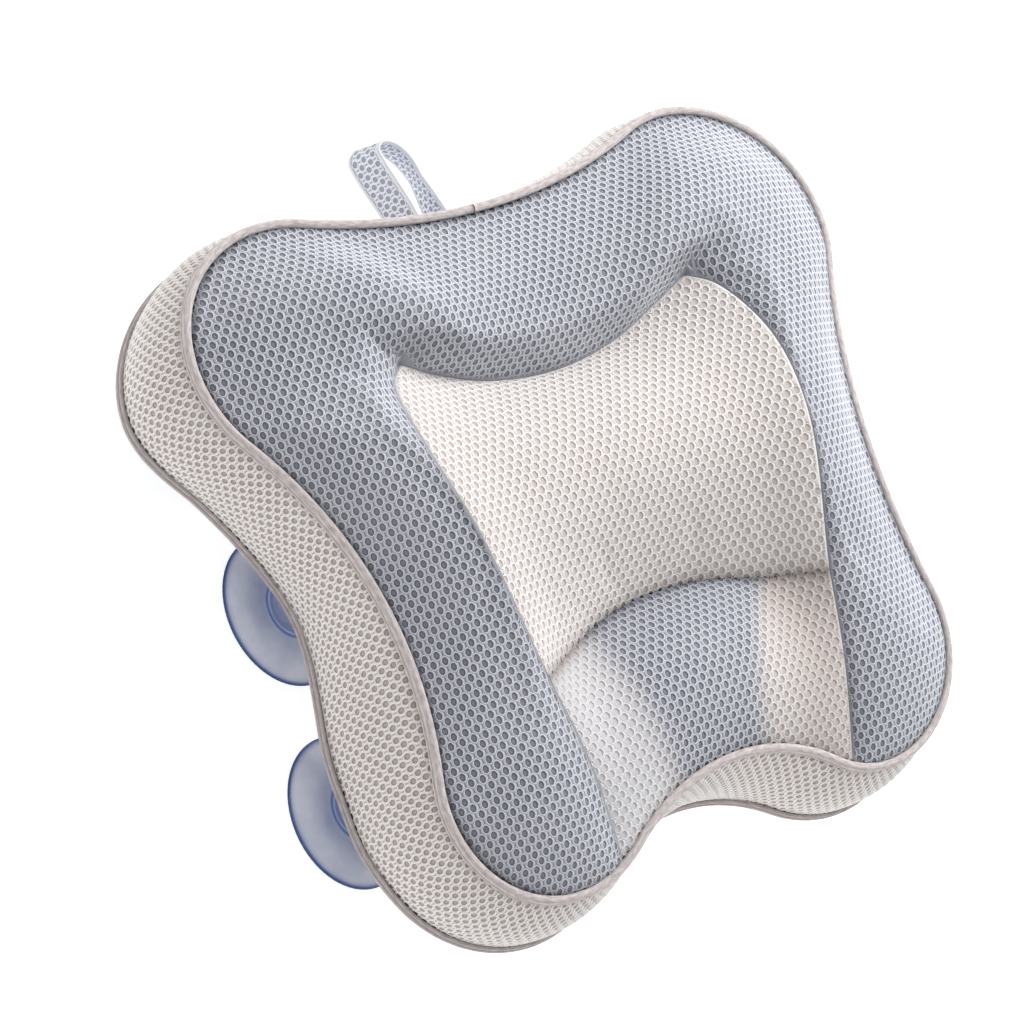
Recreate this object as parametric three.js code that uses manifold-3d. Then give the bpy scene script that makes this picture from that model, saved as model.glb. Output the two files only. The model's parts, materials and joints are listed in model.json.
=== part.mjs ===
// Bath pillow: a four-lobed air-mesh cushion with a head cradle, a neck roll, corded seams,
// a hanging loop and suction cups that spin in eyelets of the back panel.
// Millimetres, +Z is the front of the pillow, +Y runs to the hanging loop, z = 0 is under the cups.
import * as THREE from 'three';
import { mergeVertices } from 'three/addons/utils/BufferGeometryUtils.js';
import ManifoldModule from 'manifold-3d';

const wasm = await ManifoldModule();
wasm.setup();

// Outline of the front seam: convex lobes joined by concave waists, the same on both sides of x = 0.
const topLobeX = 117.5;
const topLobeY = 105;
const topLobeRadius = 62.2;
const bottomLobeX = 93.5;
const bottomLobeY = -104;
const bottomLobeRadius = 55.8;
const topWaistRadius = 285;
const sideWaistRadius = 226;
const bottomWaistRadius = 102;

// Side wall: the front seam is highest at the sides and falls to the corners, the back seam is flat.
const wallHeight = 74;
const wallSideFall = 9.5;
const wallEndFall = 19.5;
const wallCornerLift = 5;
const wallFallSpan = 150;
const backDrop = 2.5;
const wallBulge = 5.5;
// How far the back seam stands out from the front seam, at heights on the pillow from top to bottom.
const backFlare = [[170, 4], [112, 9], [70, 1.5], [15, 0.5], [-65, 16], [-125, 8.6]];
const backCrown = 4;
const backCrownPower = 4;

// Fabric, corded seams and the clearance between sewn pieces.
const fabric = 4;
const pipingRadius = 2.8;
const pipingJoint = 0.6;
const seamGap = 0.45;
const fillGap = 0.95;

// Sewn seams of the front, right half: x, y and height above the back seam.
const seamEndAngle = -115;
const topSeamMiddle = [0, 64.5, 54];
const topSeamQuarter = [36, 69, 54];
const topSeamShoulder = [66, 79.5, 57];
const cradleTip = [84, 87.5, 62];
const cradleCorner = [95, 78, 68];
const sideSeamHigh = [102, 46, 83];
const sideSeamMiddle = [98.5, 5, 89.5];
const creaseEnd = [84.5, -67, 75.5];
const creaseQuarter = [58, -58.5, 61];
const creaseInner = [30, -49.5, 55.5];
const creaseMiddle = [0, -46.5, 54];
const neckSeamMiddle = [77, -108, 68.5];

// How far each padded panel swells above its seams; the horseshoe by a share of its own width.
const topPuff = 0.27;
const sidePuff = 0.15;
const centreSwell = 7.5;
const neckSwell = 14.5;
const swellPower = 0.9;

// Suction cups: rows of left and right pairs that lean outwards in their eyelets, each row at its own
// height on the pillow and set in from the back seam.
const cupTopRow = 105;
const cupTopInset = 46;
const cupMiddleRow = 9.5;
const cupMiddleInset = 16;
const cupBottomRow = -86;
const cupBottomInset = 18;
const cupLean = THREE.MathUtils.degToRad(15);
const cupRadius = 36;
const cupHeight = 13;
const cupRimWidth = 2.4;
const cupEdge = 1.4;
const cupHollow = 6.5;
const bossRadius = 12;
const bossHeight = 3;
const neckRadius = 3.6;
const headRadius = 7.5;
const headHeight = 5;

// Eyelets: a flanged bush through the back panel, with a washer that clamps it from inside.
const eyeletWall = 1.6;
const eyeletFlange = 2.7;
const eyeletPlate = 1.2;
const eyeletSeat = 0.95;

// Hanging loop: one tape, both ends sewn in at the top of the back seam.
const loopLength = 47;
const loopRise = [[-4, 0], [-8, 0.4], [-12, 0.76], [-12.5, 0.92], [-7, 1]];
const loopFall = [[1, 0.94], [7.5, 0.76], [11, 0.42], [13, 0]];
const loopTape = 24;
const loopThickness = 1.8;
const loopDrop = 4;

// Facets.
const topWaistSteps = 5;
const topLobeSteps = 10;
const sideWaistSteps = 6;
const bottomLobeSteps = 7;
const bottomLobeEndSteps = 2;
const bottomWaistSteps = 5;
const bandRows = 6;
const centreColumns = 18;
const centreRows = 12;
const neckRows = 8;
const wallRows = 4;
const backRings = 4;
const backStride = 0.5;
const fillBottomRows = 2;
const cupSegments = 18;
const dishSteps = 4;
const eyeletSegments = 14;
const pipingSides = 6;
const pipingSteps = 94;
const loopSteps = 28;

const colours = {
  blueMesh: { color: 0x9aa4b4, roughness: 0.9, metalness: 0 },
  whiteMesh: { color: 0xe4e0da, roughness: 0.9, metalness: 0 },
  piping: { color: 0xa89c96, roughness: 0.85, metalness: 0 },
  fibre: { color: 0xf2f2f0, roughness: 1, metalness: 0 },
  tape: { color: 0xc3c6ce, roughness: 0.9, metalness: 0 },
  vinyl: { color: 0x9fb0d4, roughness: 0.15, metalness: 0 },
  eyelet: { color: 0xd5d5d8, roughness: 0.4, metalness: 0 },
};

const pillow = new THREE.Group();

function addPiece(name, geometry, look, parent = pillow) {
  const mesh = new THREE.Mesh(geometry, new THREE.MeshStandardMaterial(colours[look]));
  mesh.name = name;
  parent.add(mesh);
  return mesh;
}

// Outline arcs of the right half, from the middle of the top edge to the middle of the bottom edge.
const topLobe = new THREE.Vector2(topLobeX, topLobeY);
const bottomLobe = new THREE.Vector2(bottomLobeX, bottomLobeY);

function waistOnAxis(lobe, lobeRadius, radius, direction) {
  const reach = Math.sqrt((radius + lobeRadius) ** 2 - lobe.x ** 2);
  return new THREE.Vector2(0, lobe.y + direction * reach);
}

function waistAtSide() {
  const along = bottomLobe.clone().sub(topLobe);
  const span = along.length();
  along.normalize();
  const upper = sideWaistRadius + topLobeRadius;
  const lower = sideWaistRadius + bottomLobeRadius;
  const foot = (upper ** 2 - lower ** 2 + span ** 2) / (2 * span);
  const out = new THREE.Vector2(-along.y, along.x);
  return topLobe.clone().addScaledVector(along, foot).addScaledVector(out, Math.sqrt(upper ** 2 - foot ** 2));
}

const topWaist = waistOnAxis(topLobe, topLobeRadius, topWaistRadius, 1);
const bottomWaist = waistOnAxis(bottomLobe, bottomLobeRadius, bottomWaistRadius, -1);
const sideWaist = waistAtSide();
const heading = (from, to) => Math.atan2(to.y - from.y, to.x - from.x);
const seamEnd = THREE.MathUtils.degToRad(seamEndAngle);

function arc(centre, radius, from, to, steps, convex) {
  let turn = to - from;
  if (convex && turn > 0) turn -= 2 * Math.PI;
  if (!convex && turn < 0) turn += 2 * Math.PI;
  return { centre, radius, from, turn, steps, side: convex ? 1 : -1 };
}

const sideFrom = heading(sideWaist, topLobe);
const sideTo = heading(sideWaist, bottomLobe);
const halfOutline = [
  arc(topWaist, topWaistRadius, -Math.PI / 2, heading(topWaist, topLobe), topWaistSteps, false),
  arc(topLobe, topLobeRadius, heading(topLobe, topWaist), heading(topLobe, sideWaist), topLobeSteps, true),
  arc(sideWaist, sideWaistRadius, sideFrom, sideTo, sideWaistSteps, false),
  arc(bottomLobe, bottomLobeRadius, heading(bottomLobe, sideWaist), seamEnd, bottomLobeSteps, true),
  arc(bottomLobe, bottomLobeRadius, seamEnd, heading(bottomLobe, bottomWaist), bottomLobeEndSteps, true),
  arc(bottomWaist, bottomWaistRadius, heading(bottomWaist, bottomLobe), Math.PI / 2, bottomWaistSteps, false),
];
const halfSteps = halfOutline.reduce((sum, part) => sum + part.steps, 0);
const seamEndStep = halfSteps - bottomLobeEndSteps - bottomWaistSteps;

const wallTop = (x, y) => {
  const across = (x / wallFallSpan) ** 2;
  const along = (y / wallFallSpan) ** 2;
  return wallHeight - wallSideFall * across - wallEndFall * along + wallCornerLift * across * along;
};

// A point of the outline, with its outward direction. Steps count from the top, negative ones lie left.
function outlineAt(step) {
  const side = step < 0 ? -1 : 1;
  let rest = Math.min(Math.abs(step), halfSteps);
  let part = halfOutline[0];
  for (const next of halfOutline) {
    part = next;
    if (rest <= part.steps) break;
    rest -= part.steps;
  }
  const angle = part.from + part.turn * Math.min(rest / part.steps, 1);
  const x = part.centre.x + part.radius * Math.cos(angle);
  const y = part.centre.y + part.radius * Math.sin(angle);
  const out = new THREE.Vector2(side * part.side * Math.cos(angle), part.side * Math.sin(angle));
  return { x: side * x, y, z: wallTop(x, y), out };
}

function outlineRing(stride) {
  const points = [];
  for (let step = halfSteps - stride; step > -halfSteps - stride / 2; step -= stride) {
    points.push(outlineAt(step));
  }
  return points;
}

const ring = outlineRing(1);

function flareAt(y) {
  for (let i = 0; i + 1 < backFlare.length; i += 1) {
    const [high, start] = backFlare[i];
    const [low, end] = backFlare[i + 1];
    if (y > low) return THREE.MathUtils.lerp(end, start, THREE.MathUtils.smoothstep(y, low, high));
  }
  return backFlare[backFlare.length - 1][1];
}

// A point of the back seam beside a point of the outline, set in from the seam line.
function backSeam(p, inset) {
  const reach = flareAt(p.y) - inset;
  return new THREE.Vector2(p.x + p.out.x * reach, p.y + p.out.y * reach - backDrop);
}

const backRing = ring.map((p) => backSeam(p, 0));

// Share of the way from the middle of the back panel to the back seam.
function seamShare(x, y) {
  for (let i = 0; i < backRing.length; i += 1) {
    const a = backRing[i];
    const b = backRing[(i + 1) % backRing.length];
    const turn = a.x * b.y - a.y * b.x;
    const left = a.x * y - a.y * x;
    const right = x * b.y - y * b.x;
    if (turn > 0 && left >= 0 && right >= 0) return (left + right) / turn;
  }
  return 0;
}

const backLevel = (x, y) => -backCrown * (1 - Math.min(seamShare(x, y), 1) ** backCrownPower);

// Closed solids from rows of points.
function solid(points, faces) {
  const at = (i) => points[i];
  let volume = 0;
  for (const [a, b, c] of faces) volume += at(a).dot(new THREE.Vector3().crossVectors(at(b), at(c)));
  const index = faces.flatMap(([a, b, c]) => (volume < 0 ? [a, c, b] : [a, b, c]));
  const geometry = new THREE.BufferGeometry();
  geometry.setAttribute('position', new THREE.Float32BufferAttribute(points.flatMap((p) => p.toArray()), 3));
  geometry.setIndex(index);
  return geometry;
}

function loft(sections, closed) {
  const count = sections[0].length;
  const points = sections.flat();
  const faces = [];
  const rows = closed ? sections.length : sections.length - 1;
  for (let i = 0; i < rows; i += 1) {
    const next = (i + 1) % sections.length;
    for (let j = 0; j < count; j += 1) {
      const a = i * count + j;
      const b = i * count + ((j + 1) % count);
      const c = next * count + ((j + 1) % count);
      const d = next * count + j;
      faces.push([a, b, d], [b, c, d]);
    }
  }
  if (!closed) {
    for (const [row, flip] of [[0, true], [sections.length - 1, false]]) {
      const middle = new THREE.Vector3();
      for (const p of sections[row]) middle.addScaledVector(p, 1 / count);
      const hub = points.push(middle) - 1;
      for (let j = 0; j < count; j += 1) {
        const a = row * count + j;
        const b = row * count + ((j + 1) % count);
        faces.push(flip ? [hub, b, a] : [hub, a, b]);
      }
    }
  }
  return solid(points, faces);
}

function toManifold(geometry) {
  const bare = geometry.clone();
  bare.deleteAttribute('normal');
  bare.deleteAttribute('uv');
  const merged = mergeVertices(bare, 1e-4);
  const triVerts = Uint32Array.from(merged.index.array);
  const vertProperties = Float32Array.from(merged.attributes.position.array);
  return new wasm.Manifold(new wasm.Mesh({ numProp: 3, vertProperties, triVerts }));
}

function cut(geometry, cutters) {
  let body = toManifold(geometry);
  for (const cutter of cutters) body = body.subtract(toManifold(cutter));
  const mesh = body.getMesh();
  const result = new THREE.BufferGeometry();
  result.setAttribute('position', new THREE.Float32BufferAttribute(mesh.vertProperties, 3));
  result.setIndex(Array.from(mesh.triVerts));
  return result;
}

// Padded surfaces: each takes u along and v across, both from 0 to 1.
const mirrored = ([x, y, z]) => [-x, y, z];
const spline = (points) => new THREE.CatmullRomCurve3(points.map((p) => new THREE.Vector3(...p)));
const seamFoot = outlineAt(seamEndStep);
const topSeamHalf = [topSeamQuarter, topSeamShoulder, cradleTip];
const topSeam = spline([...topSeamHalf.map(mirrored).reverse(), topSeamMiddle, ...topSeamHalf]);
const creaseHalf = [creaseInner, creaseQuarter, creaseEnd];
const crease = spline([...creaseHalf.map(mirrored).reverse(), creaseMiddle, ...creaseHalf]);
const cradleSide = spline([cradleTip, cradleCorner, sideSeamHigh, sideSeamMiddle, creaseEnd]);
const neckSide = spline([creaseEnd, neckSeamMiddle, [seamFoot.x, seamFoot.y, seamFoot.z]]);
const tipStep = topWaistSteps + topLobeSteps / 2;
const creaseStep = topWaistSteps + topLobeSteps + sideWaistSteps - 1;
const cradleSideSpread = 1.9;

function onSide(point, side) {
  return new THREE.Vector3(side * point.x, point.y, point.z);
}

function innerSeamAt(step) {
  const side = step < 0 ? -1 : 1;
  const reach = Math.abs(step);
  if (reach <= tipStep) return topSeam.getPointAt(0.5 + (0.5 * step) / tipStep);
  if (reach <= creaseStep) {
    const share = ((reach - tipStep) / (creaseStep - tipStep)) ** cradleSideSpread;
    return onSide(cradleSide.getPointAt(share), side);
  }
  return onSide(neckSide.getPointAt(Math.min((reach - creaseStep) / (seamEndStep - creaseStep), 1)), side);
}

const swell = (share) => Math.max(4 * share * (1 - share), 0) ** swellPower;

// The horseshoe is fuller along the top edge than down the sides.
function puffAt(step) {
  const share = THREE.MathUtils.smoothstep(Math.abs(step), topWaistSteps, topWaistSteps + topLobeSteps);
  return THREE.MathUtils.lerp(topPuff, sidePuff, share);
}

function horseshoe(u, v) {
  const step = (2 * u - 1) * seamEndStep;
  const outer = outlineAt(step);
  const inner = innerSeamAt(step);
  const width = Math.hypot(inner.x - outer.x, inner.y - outer.y);
  const point = new THREE.Vector3(outer.x, outer.y, outer.z).lerp(inner, v);
  point.z += puffAt(step) * width * swell(v);
  return point;
}

// A patch stretched between four seams: low and high run left to right, left and right run from low to high.
function stretched(low, high, left, right, height) {
  return (u, v) => {
    const point = low(u).multiplyScalar(1 - v).addScaledVector(high(u), v);
    point.addScaledVector(left(v), 1 - u).addScaledVector(right(v), u);
    point.addScaledVector(low(0), -(1 - u) * (1 - v)).addScaledVector(low(1), -u * (1 - v));
    point.addScaledVector(high(0), -(1 - u) * v).addScaledVector(high(1), -u * v);
    point.z += height * swell(u) * swell(v);
    return point;
  };
}

const creaseLine = (u) => crease.getPointAt(u);
const centre = stretched(
  creaseLine,
  (u) => topSeam.getPointAt(u),
  (v) => onSide(cradleSide.getPointAt(1 - v), -1),
  (v) => cradleSide.getPointAt(1 - v),
  centreSwell,
);

const neckFootSteps = halfSteps - seamEndStep;

function neckFoot(u) {
  const fromMiddle = (2 * u - 1) * neckFootSteps;
  const foot = outlineAt(Math.sign(fromMiddle || 1) * (halfSteps - Math.abs(fromMiddle)));
  return new THREE.Vector3(foot.x, foot.y, foot.z);
}

const neck = stretched(
  neckFoot,
  creaseLine,
  (v) => onSide(neckSide.getPointAt(1 - v), -1),
  (v) => neckSide.getPointAt(1 - v),
  neckSwell,
);

// A point of a surface, sunk square to it.
function sunk(surface, u, v, depth) {
  const reach = 0.004;
  const low = (share) => Math.max(share - reach, 0.001);
  const high = (share) => Math.min(share + reach, 0.999);
  const alongU = surface(high(u), v).sub(surface(low(u), v));
  const alongV = surface(u, high(v)).sub(surface(u, low(v)));
  const out = new THREE.Vector3().crossVectors(alongU, alongV).normalize();
  if (out.z < 0) out.negate();
  return surface(u, v).addScaledVector(out, -depth);
}

function evenly(steps, from, to) {
  return Array.from({ length: steps + 1 }, (_, i) => from + ((to - from) * i) / steps);
}

// Distance between the low and high seams of a column.
function spanAt(surface, u) {
  const low = surface(u, 0);
  const high = surface(u, 1);
  return Math.hypot(high.x - low.x, high.y - low.y);
}

// Share of v that lies a hem's distance from the seam line at one end of a column.
function hemShare(surface, u, end, distance) {
  const seam = surface(u, end);
  const along = surface(Math.min(u + 0.005, 1), end).sub(surface(Math.max(u - 0.005, 0), end)).normalize();
  let near = 0;
  let far = 0.5;
  for (let i = 0; i < 24; i += 1) {
    const middle = (near + far) / 2;
    const way = surface(u, Math.abs(end - middle)).sub(seam);
    if (way.addScaledVector(along, -way.dot(along)).length() < distance) near = middle;
    else far = middle;
  }
  return Math.abs(end - far);
}

// Shares of v between the hems of a column.
function rowsBetween(surface, u, rows, lowHem, highHem) {
  return evenly(rows, hemShare(surface, u, 0, lowHem), hemShare(surface, u, 1, highHem));
}

const cordHem = pipingRadius + seamGap;
const hem = seamGap / 2;
const backHem = cordHem + seamGap / 3;
const pointTaper = 0.11;

function panel(surface, columns, rows, lowHem) {
  const sections = columns.map((u) => {
    const shares = rowsBetween(surface, u, rows, lowHem, hem);
    const face = shares.map((v) => sunk(surface, u, v, 0));
    const thickness = Math.min(fabric, spanAt(surface, u) * pointTaper);
    const lining = shares.map((v) => sunk(surface, u, v, thickness)).reverse();
    return [...face, ...lining];
  });
  return panelLoft(sections);
}

// A lofted sheet: its end caps are strips between face and lining.
function panelLoft(sections) {
  const count = sections[0].length;
  const points = sections.flat();
  const faces = [];
  for (let i = 0; i + 1 < sections.length; i += 1) {
    for (let j = 0; j < count; j += 1) {
      const a = i * count + j;
      const b = i * count + ((j + 1) % count);
      faces.push([a, b, b + count], [a, b + count, a + count]);
    }
  }
  for (const [row, flip] of [[0, true], [sections.length - 1, false]]) {
    for (let j = 0; j + 1 < count / 2; j += 1) {
      const a = row * count + j;
      const b = row * count + j + 1;
      const c = row * count + count - 2 - j;
      const d = row * count + count - 1 - j;
      faces.push(...(flip ? [[a, c, b], [a, d, c]] : [[a, b, c], [a, c, d]]));
    }
  }
  return solid(points, faces);
}

// Columns of the horseshoe run from one sewn end to the other and stop just short of its points.
const pointStop = 0.42;
const bandSteps = evenly(2 * seamEndStep - 2, 1 - seamEndStep, seamEndStep - 1);
const bandColumn = (step) => (step / seamEndStep + 1) / 2;
const bandColumns = [pointStop - seamEndStep, ...bandSteps, seamEndStep - pointStop].map(bandColumn);

addPiece('horseshoe_panel', panel(horseshoe, bandColumns, bandRows, cordHem), 'blueMesh');

const sideHem = 0.0025;
const cradleColumns = evenly(centreColumns, sideHem, 1 - sideHem);
addPiece('centre_panel', panel(centre, cradleColumns, centreRows, hem), 'whiteMesh');
const neckColumns = evenly(2 * neckFootSteps, sideHem, 1 - sideHem);
addPiece('neck_panel', panel(neck, neckColumns, neckRows, cordHem), 'whiteMesh');

// Side wall: from the front cord down to the back cord, swelling between them.
function wallPoint(p, share, depth) {
  const drop = p.z;
  const hemShare = cordHem / drop;
  const t = hemShare + (1 - 2 * hemShare) * share;
  const reach = flareAt(p.y) * t + wallBulge * Math.sin(Math.PI * t) - depth;
  return new THREE.Vector3(p.x + p.out.x * reach, p.y + p.out.y * reach - backDrop * t, drop * (1 - t));
}

const wallShares = evenly(wallRows, 0, 1);
const wallSections = ring.map((p) => [
  ...wallShares.map((share) => wallPoint(p, share, 0)),
  ...wallShares.map((share) => wallPoint(p, share, fabric)).reverse(),
]);
addPiece('side_wall', loft(wallSections, true), 'whiteMesh');

// Back panel: a slightly domed sheet with a hole for each eyelet.
function backSheet() {
  const points = [];
  const faces = [];
  const border = outlineRing(backStride);
  const count = border.length;
  const sheets = [-fabric / 2, fabric / 2];
  for (const level of sheets) {
    points.push(new THREE.Vector3(0, 0, level - backCrown));
    for (let k = 1; k <= backRings; k += 1) {
      const share = k / backRings;
      for (const p of border) {
        const { x, y } = backSeam(p, backHem).multiplyScalar(share);
        points.push(new THREE.Vector3(x, y, level + backLevel(x, y)));
      }
    }
  }
  const half = 1 + backRings * count;
  const at = (sheet, k, i) => sheet * half + (k === 0 ? 0 : 1 + (k - 1) * count + (i % count));
  for (let sheet = 0; sheet < 2; sheet += 1) {
    const push = (a, b, c) => faces.push(sheet === 1 ? [a, b, c] : [a, c, b]);
    for (let i = 0; i < count; i += 1) {
      push(at(sheet, 0, 0), at(sheet, 1, i), at(sheet, 1, i + 1));
      for (let k = 1; k < backRings; k += 1) {
        push(at(sheet, k, i), at(sheet, k + 1, i), at(sheet, k + 1, i + 1));
        push(at(sheet, k, i), at(sheet, k + 1, i + 1), at(sheet, k, i + 1));
      }
    }
  }
  for (let i = 0; i < count; i += 1) {
    const a = at(0, backRings, i);
    const b = at(0, backRings, i + 1);
    const c = at(1, backRings, i + 1);
    const d = at(1, backRings, i);
    faces.push([a, b, c], [a, c, d]);
  }
  return solid(points, faces);
}

// Cup stations and the sizes that the eyelets take from the cup's neck and lean.
function backEdgeAt(y) {
  for (let i = 0; i < backRing.length; i += 1) {
    const a = backRing[i];
    const b = backRing[(i + 1) % backRing.length];
    const share = (y - a.y) / (b.y - a.y);
    if (a.x > 0 && b.x > 0 && share >= 0 && share < 1) return a.x + (b.x - a.x) * share;
  }
  return 0;
}

function cupPair([y, inset]) {
  const x = backEdgeAt(y) - inset;
  return [-1, 1].map((side) => ({ side, x: side * x, y, z: backLevel(x, y) }));
}

const cupRows = [[cupTopRow, cupTopInset], [cupMiddleRow, cupMiddleInset], [cupBottomRow, cupBottomInset]];
const stations = cupRows.flatMap(cupPair);
const bushHalf = fabric / 2 + eyeletSeat + eyeletPlate;
const bushBore = neckRadius / Math.cos(cupLean) + bushHalf * Math.tan(cupLean) + seamGap;
const bushRadius = bushBore + eyeletWall;
const flangeRadius = bushRadius + eyeletFlange;
const bossTop = -(bushHalf + seamGap + flangeRadius * Math.sin(cupLean)) / Math.cos(cupLean);
const headFoot = (bushHalf + seamGap + headRadius * Math.sin(cupLean)) / Math.cos(cupLean);
const headTop = headFoot + headHeight;
const rimLevel = bossTop - cupHeight;

function rodAt(place, radius, from, to) {
  const rod = new THREE.CylinderGeometry(radius, radius, to - from, eyeletSegments);
  rod.rotateX(Math.PI / 2);
  rod.translate(place.x, place.y, place.z + (from + to) / 2);
  return rod;
}

const punch = fabric * 2;
const eyeletHoles = stations.map((s) => rodAt(s, bushRadius + seamGap, -punch, punch));
addPiece('back_panel', cut(backSheet(), eyeletHoles), 'whiteMesh');

// Filling: one chamber under each panel of the front, lofted down to the back panel.
function fillSection(surface, u, rows, lowHem, outerWall) {
  const shares = rowsBetween(surface, u, rows, lowHem, hem);
  const top = shares.map((v) => sunk(surface, u, v, fabric + fillGap));
  const floor = (p) => new THREE.Vector3(p.x, p.y, backLevel(p.x, p.y) + fabric / 2 + fillGap);
  const wall = outerWall ? outerWall(u) : [];
  const lowEdge = wall.length ? wall[wall.length - 1] : top[0];
  const highEdge = top[top.length - 1];
  const bottom = evenly(fillBottomRows, 0, 1).map((t) => floor(highEdge.clone().lerp(lowEdge, t)));
  return [...top, ...bottom, ...wall.slice(0, -1).reverse()];
}

// Inner face of the side wall beside a column of a panel that ends at the front cord.
const wallBeside = (p) => wallShares.slice(1).map((share) => wallPoint(p, share, fabric + fillGap));
const bandWall = (u) => wallBeside(outlineAt((2 * u - 1) * seamEndStep));
const neckWall = (u) => {
  const fromMiddle = (2 * u - 1) * neckFootSteps;
  return wallBeside(outlineAt(Math.sign(fromMiddle || 1) * (halfSteps - Math.abs(fromMiddle))));
};

const fillSteps = bandSteps.slice(1, -1);
const bandSection = (step) => fillSection(horseshoe, bandColumn(step), bandRows, cordHem, bandWall);
const bandFill = loft(fillSteps.map(bandSection), false);
const headClearance = 1.5;
const pockets = stations.map((s) => {
  const reach = headRadius + headTop * Math.sin(cupLean) + headClearance;
  return rodAt(s, Math.max(reach, flangeRadius + headClearance), 0, headTop + headClearance);
});
addPiece('horseshoe_fill', cut(bandFill, pockets), 'fibre');
const centreFill = loft(cradleColumns.map((u) => fillSection(centre, u, centreRows, hem, null)), false);
addPiece('centre_fill', centreFill, 'fibre');
const neckFill = loft(neckColumns.map((u) => fillSection(neck, u, neckRows, cordHem, neckWall)), false);
addPiece('neck_fill', neckFill, 'fibre');

// Corded piping on both seams: a round cord whose ends butt at the middle of the top edge.
function piping(place) {
  const stops = [];
  for (let step = 0; step <= halfSteps; step += 0.5) stops.push(outlineAt(step));
  for (let step = halfSteps - 0.5; step > -0.25; step -= 0.5) stops.push(outlineAt(-step));
  const points = stops.map(place);
  points[0].x += pipingJoint / 2;
  points[points.length - 1].x -= pipingJoint / 2;
  const path = new THREE.CatmullRomCurve3(points);
  const section = new THREE.Shape();
  for (let i = 0; i < pipingSides; i += 1) {
    const angle = (2 * Math.PI * (i + 0.5)) / pipingSides;
    const corner = [pipingRadius * Math.cos(angle), pipingRadius * Math.sin(angle)];
    if (i === 0) section.moveTo(...corner);
    else section.lineTo(...corner);
  }
  return new THREE.ExtrudeGeometry(section, { steps: pipingSteps, extrudePath: path });
}

addPiece('front_piping', piping((p) => new THREE.Vector3(p.x, p.y, p.z)), 'piping');
const onBack = (p) => new THREE.Vector3(...backSeam(p, 0), 0);
addPiece('back_piping', piping(onBack), 'piping');

// Hanging loop: a tape on edge, bowed between its two sewn feet.
const loopBase = backSeam(outlineAt(0), 0).y + pipingRadius + seamGap;
const loopReach = loopLength - loopThickness / 2;
const loopLine = new THREE.CatmullRomCurve3(
  [...loopRise, ...loopFall].map(([x, share]) => new THREE.Vector3(x, loopBase + share * loopReach, 0)),
);

function loopEdge(offset) {
  return evenly(loopSteps, 0, 1).map((t) => {
    const point = loopLine.getPointAt(t);
    const tangent = loopLine.getTangentAt(t);
    return new THREE.Vector2(point.x - tangent.y * offset, Math.max(point.y + tangent.x * offset, loopBase));
  });
}

const loopInner = loopEdge(-loopThickness / 2).reverse();
const loopShape = new THREE.Shape([...loopEdge(loopThickness / 2), ...loopInner]);
const loopSolid = new THREE.ExtrudeGeometry(loopShape, { depth: loopTape, bevelEnabled: false });
loopSolid.translate(0, 0, -loopTape / 2 - loopDrop);
addPiece('hanging_loop', loopSolid, 'tape');

// Suction cup: a dished disc with a ringed boss, a neck and a button head, turned round its own axis.
function cupProfile() {
  const points = [];
  const dishInner = cupRadius - cupRimWidth;
  for (const t of evenly(dishSteps, 0, 1)) {
    const radius = dishInner * Math.sin((t * Math.PI) / 2);
    points.push([radius, rimLevel + cupHollow * Math.cos((t * Math.PI) / 2)]);
  }
  points.push([cupRadius, rimLevel]);
  const shoulder = bossTop - bossHeight;
  for (const t of evenly(dishSteps, 0, 1)) {
    const radius = cupRadius + (bossRadius - cupRadius) * t;
    const rise = Math.sin((t * Math.PI) / 2);
    points.push([radius, rimLevel + cupEdge + (shoulder - rimLevel - cupEdge) * rise]);
  }
  points.push([bossRadius, bossTop], [neckRadius, bossTop], [neckRadius, headFoot], [headRadius, headFoot]);
  points.push([headRadius * 0.8, headFoot + headHeight * 0.65], [0, headTop]);
  points[0][0] = 0;
  return points.map(([radius, level]) => new THREE.Vector2(radius, level));
}

function turned(profile, segments) {
  const geometry = new THREE.LatheGeometry(profile, segments);
  geometry.rotateX(Math.PI / 2);
  return geometry;
}

function ringProfile(corners) {
  return [...corners, corners[0]].map(([radius, level]) => new THREE.Vector2(radius, level));
}

const eyeletProfile = ringProfile([
  [bushBore, -bushHalf],
  [flangeRadius, -bushHalf],
  [flangeRadius, eyeletPlate - bushHalf],
  [bushRadius, eyeletPlate - bushHalf],
  [bushRadius, bushHalf],
  [bushBore, bushHalf],
]);
const washerProfile = ringProfile([
  [bushRadius + seamGap, bushHalf - eyeletPlate],
  [flangeRadius, bushHalf - eyeletPlate],
  [flangeRadius, bushHalf],
  [bushRadius + seamGap, bushHalf],
]);

stations.forEach((place, i) => {
  const seat = new THREE.Group();
  seat.position.set(place.x, place.y, place.z);
  pillow.add(seat);
  addPiece(`eyelet_${i + 1}`, turned(eyeletProfile, eyeletSegments), 'eyelet', seat);
  addPiece(`eyelet_washer_${i + 1}`, turned(washerProfile, eyeletSegments), 'eyelet', seat);
  const cup = addPiece(`suction_cup_${i + 1}`, turned(cupProfile(), cupSegments), 'vinyl', seat);
  cup.rotation.y = -place.side * cupLean;
});

// The frame's origin: midway in plan, level with the lowest rim of the cups.
const box = new THREE.Box3().setFromObject(pillow, true);
pillow.position.set(-(box.min.x + box.max.x) / 2, -(box.min.y + box.max.y) / 2, -box.min.z);
export default pillow;
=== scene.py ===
import json
import math

import bmesh
import bpy
import numpy as np
from mathutils import Matrix, Vector


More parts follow.
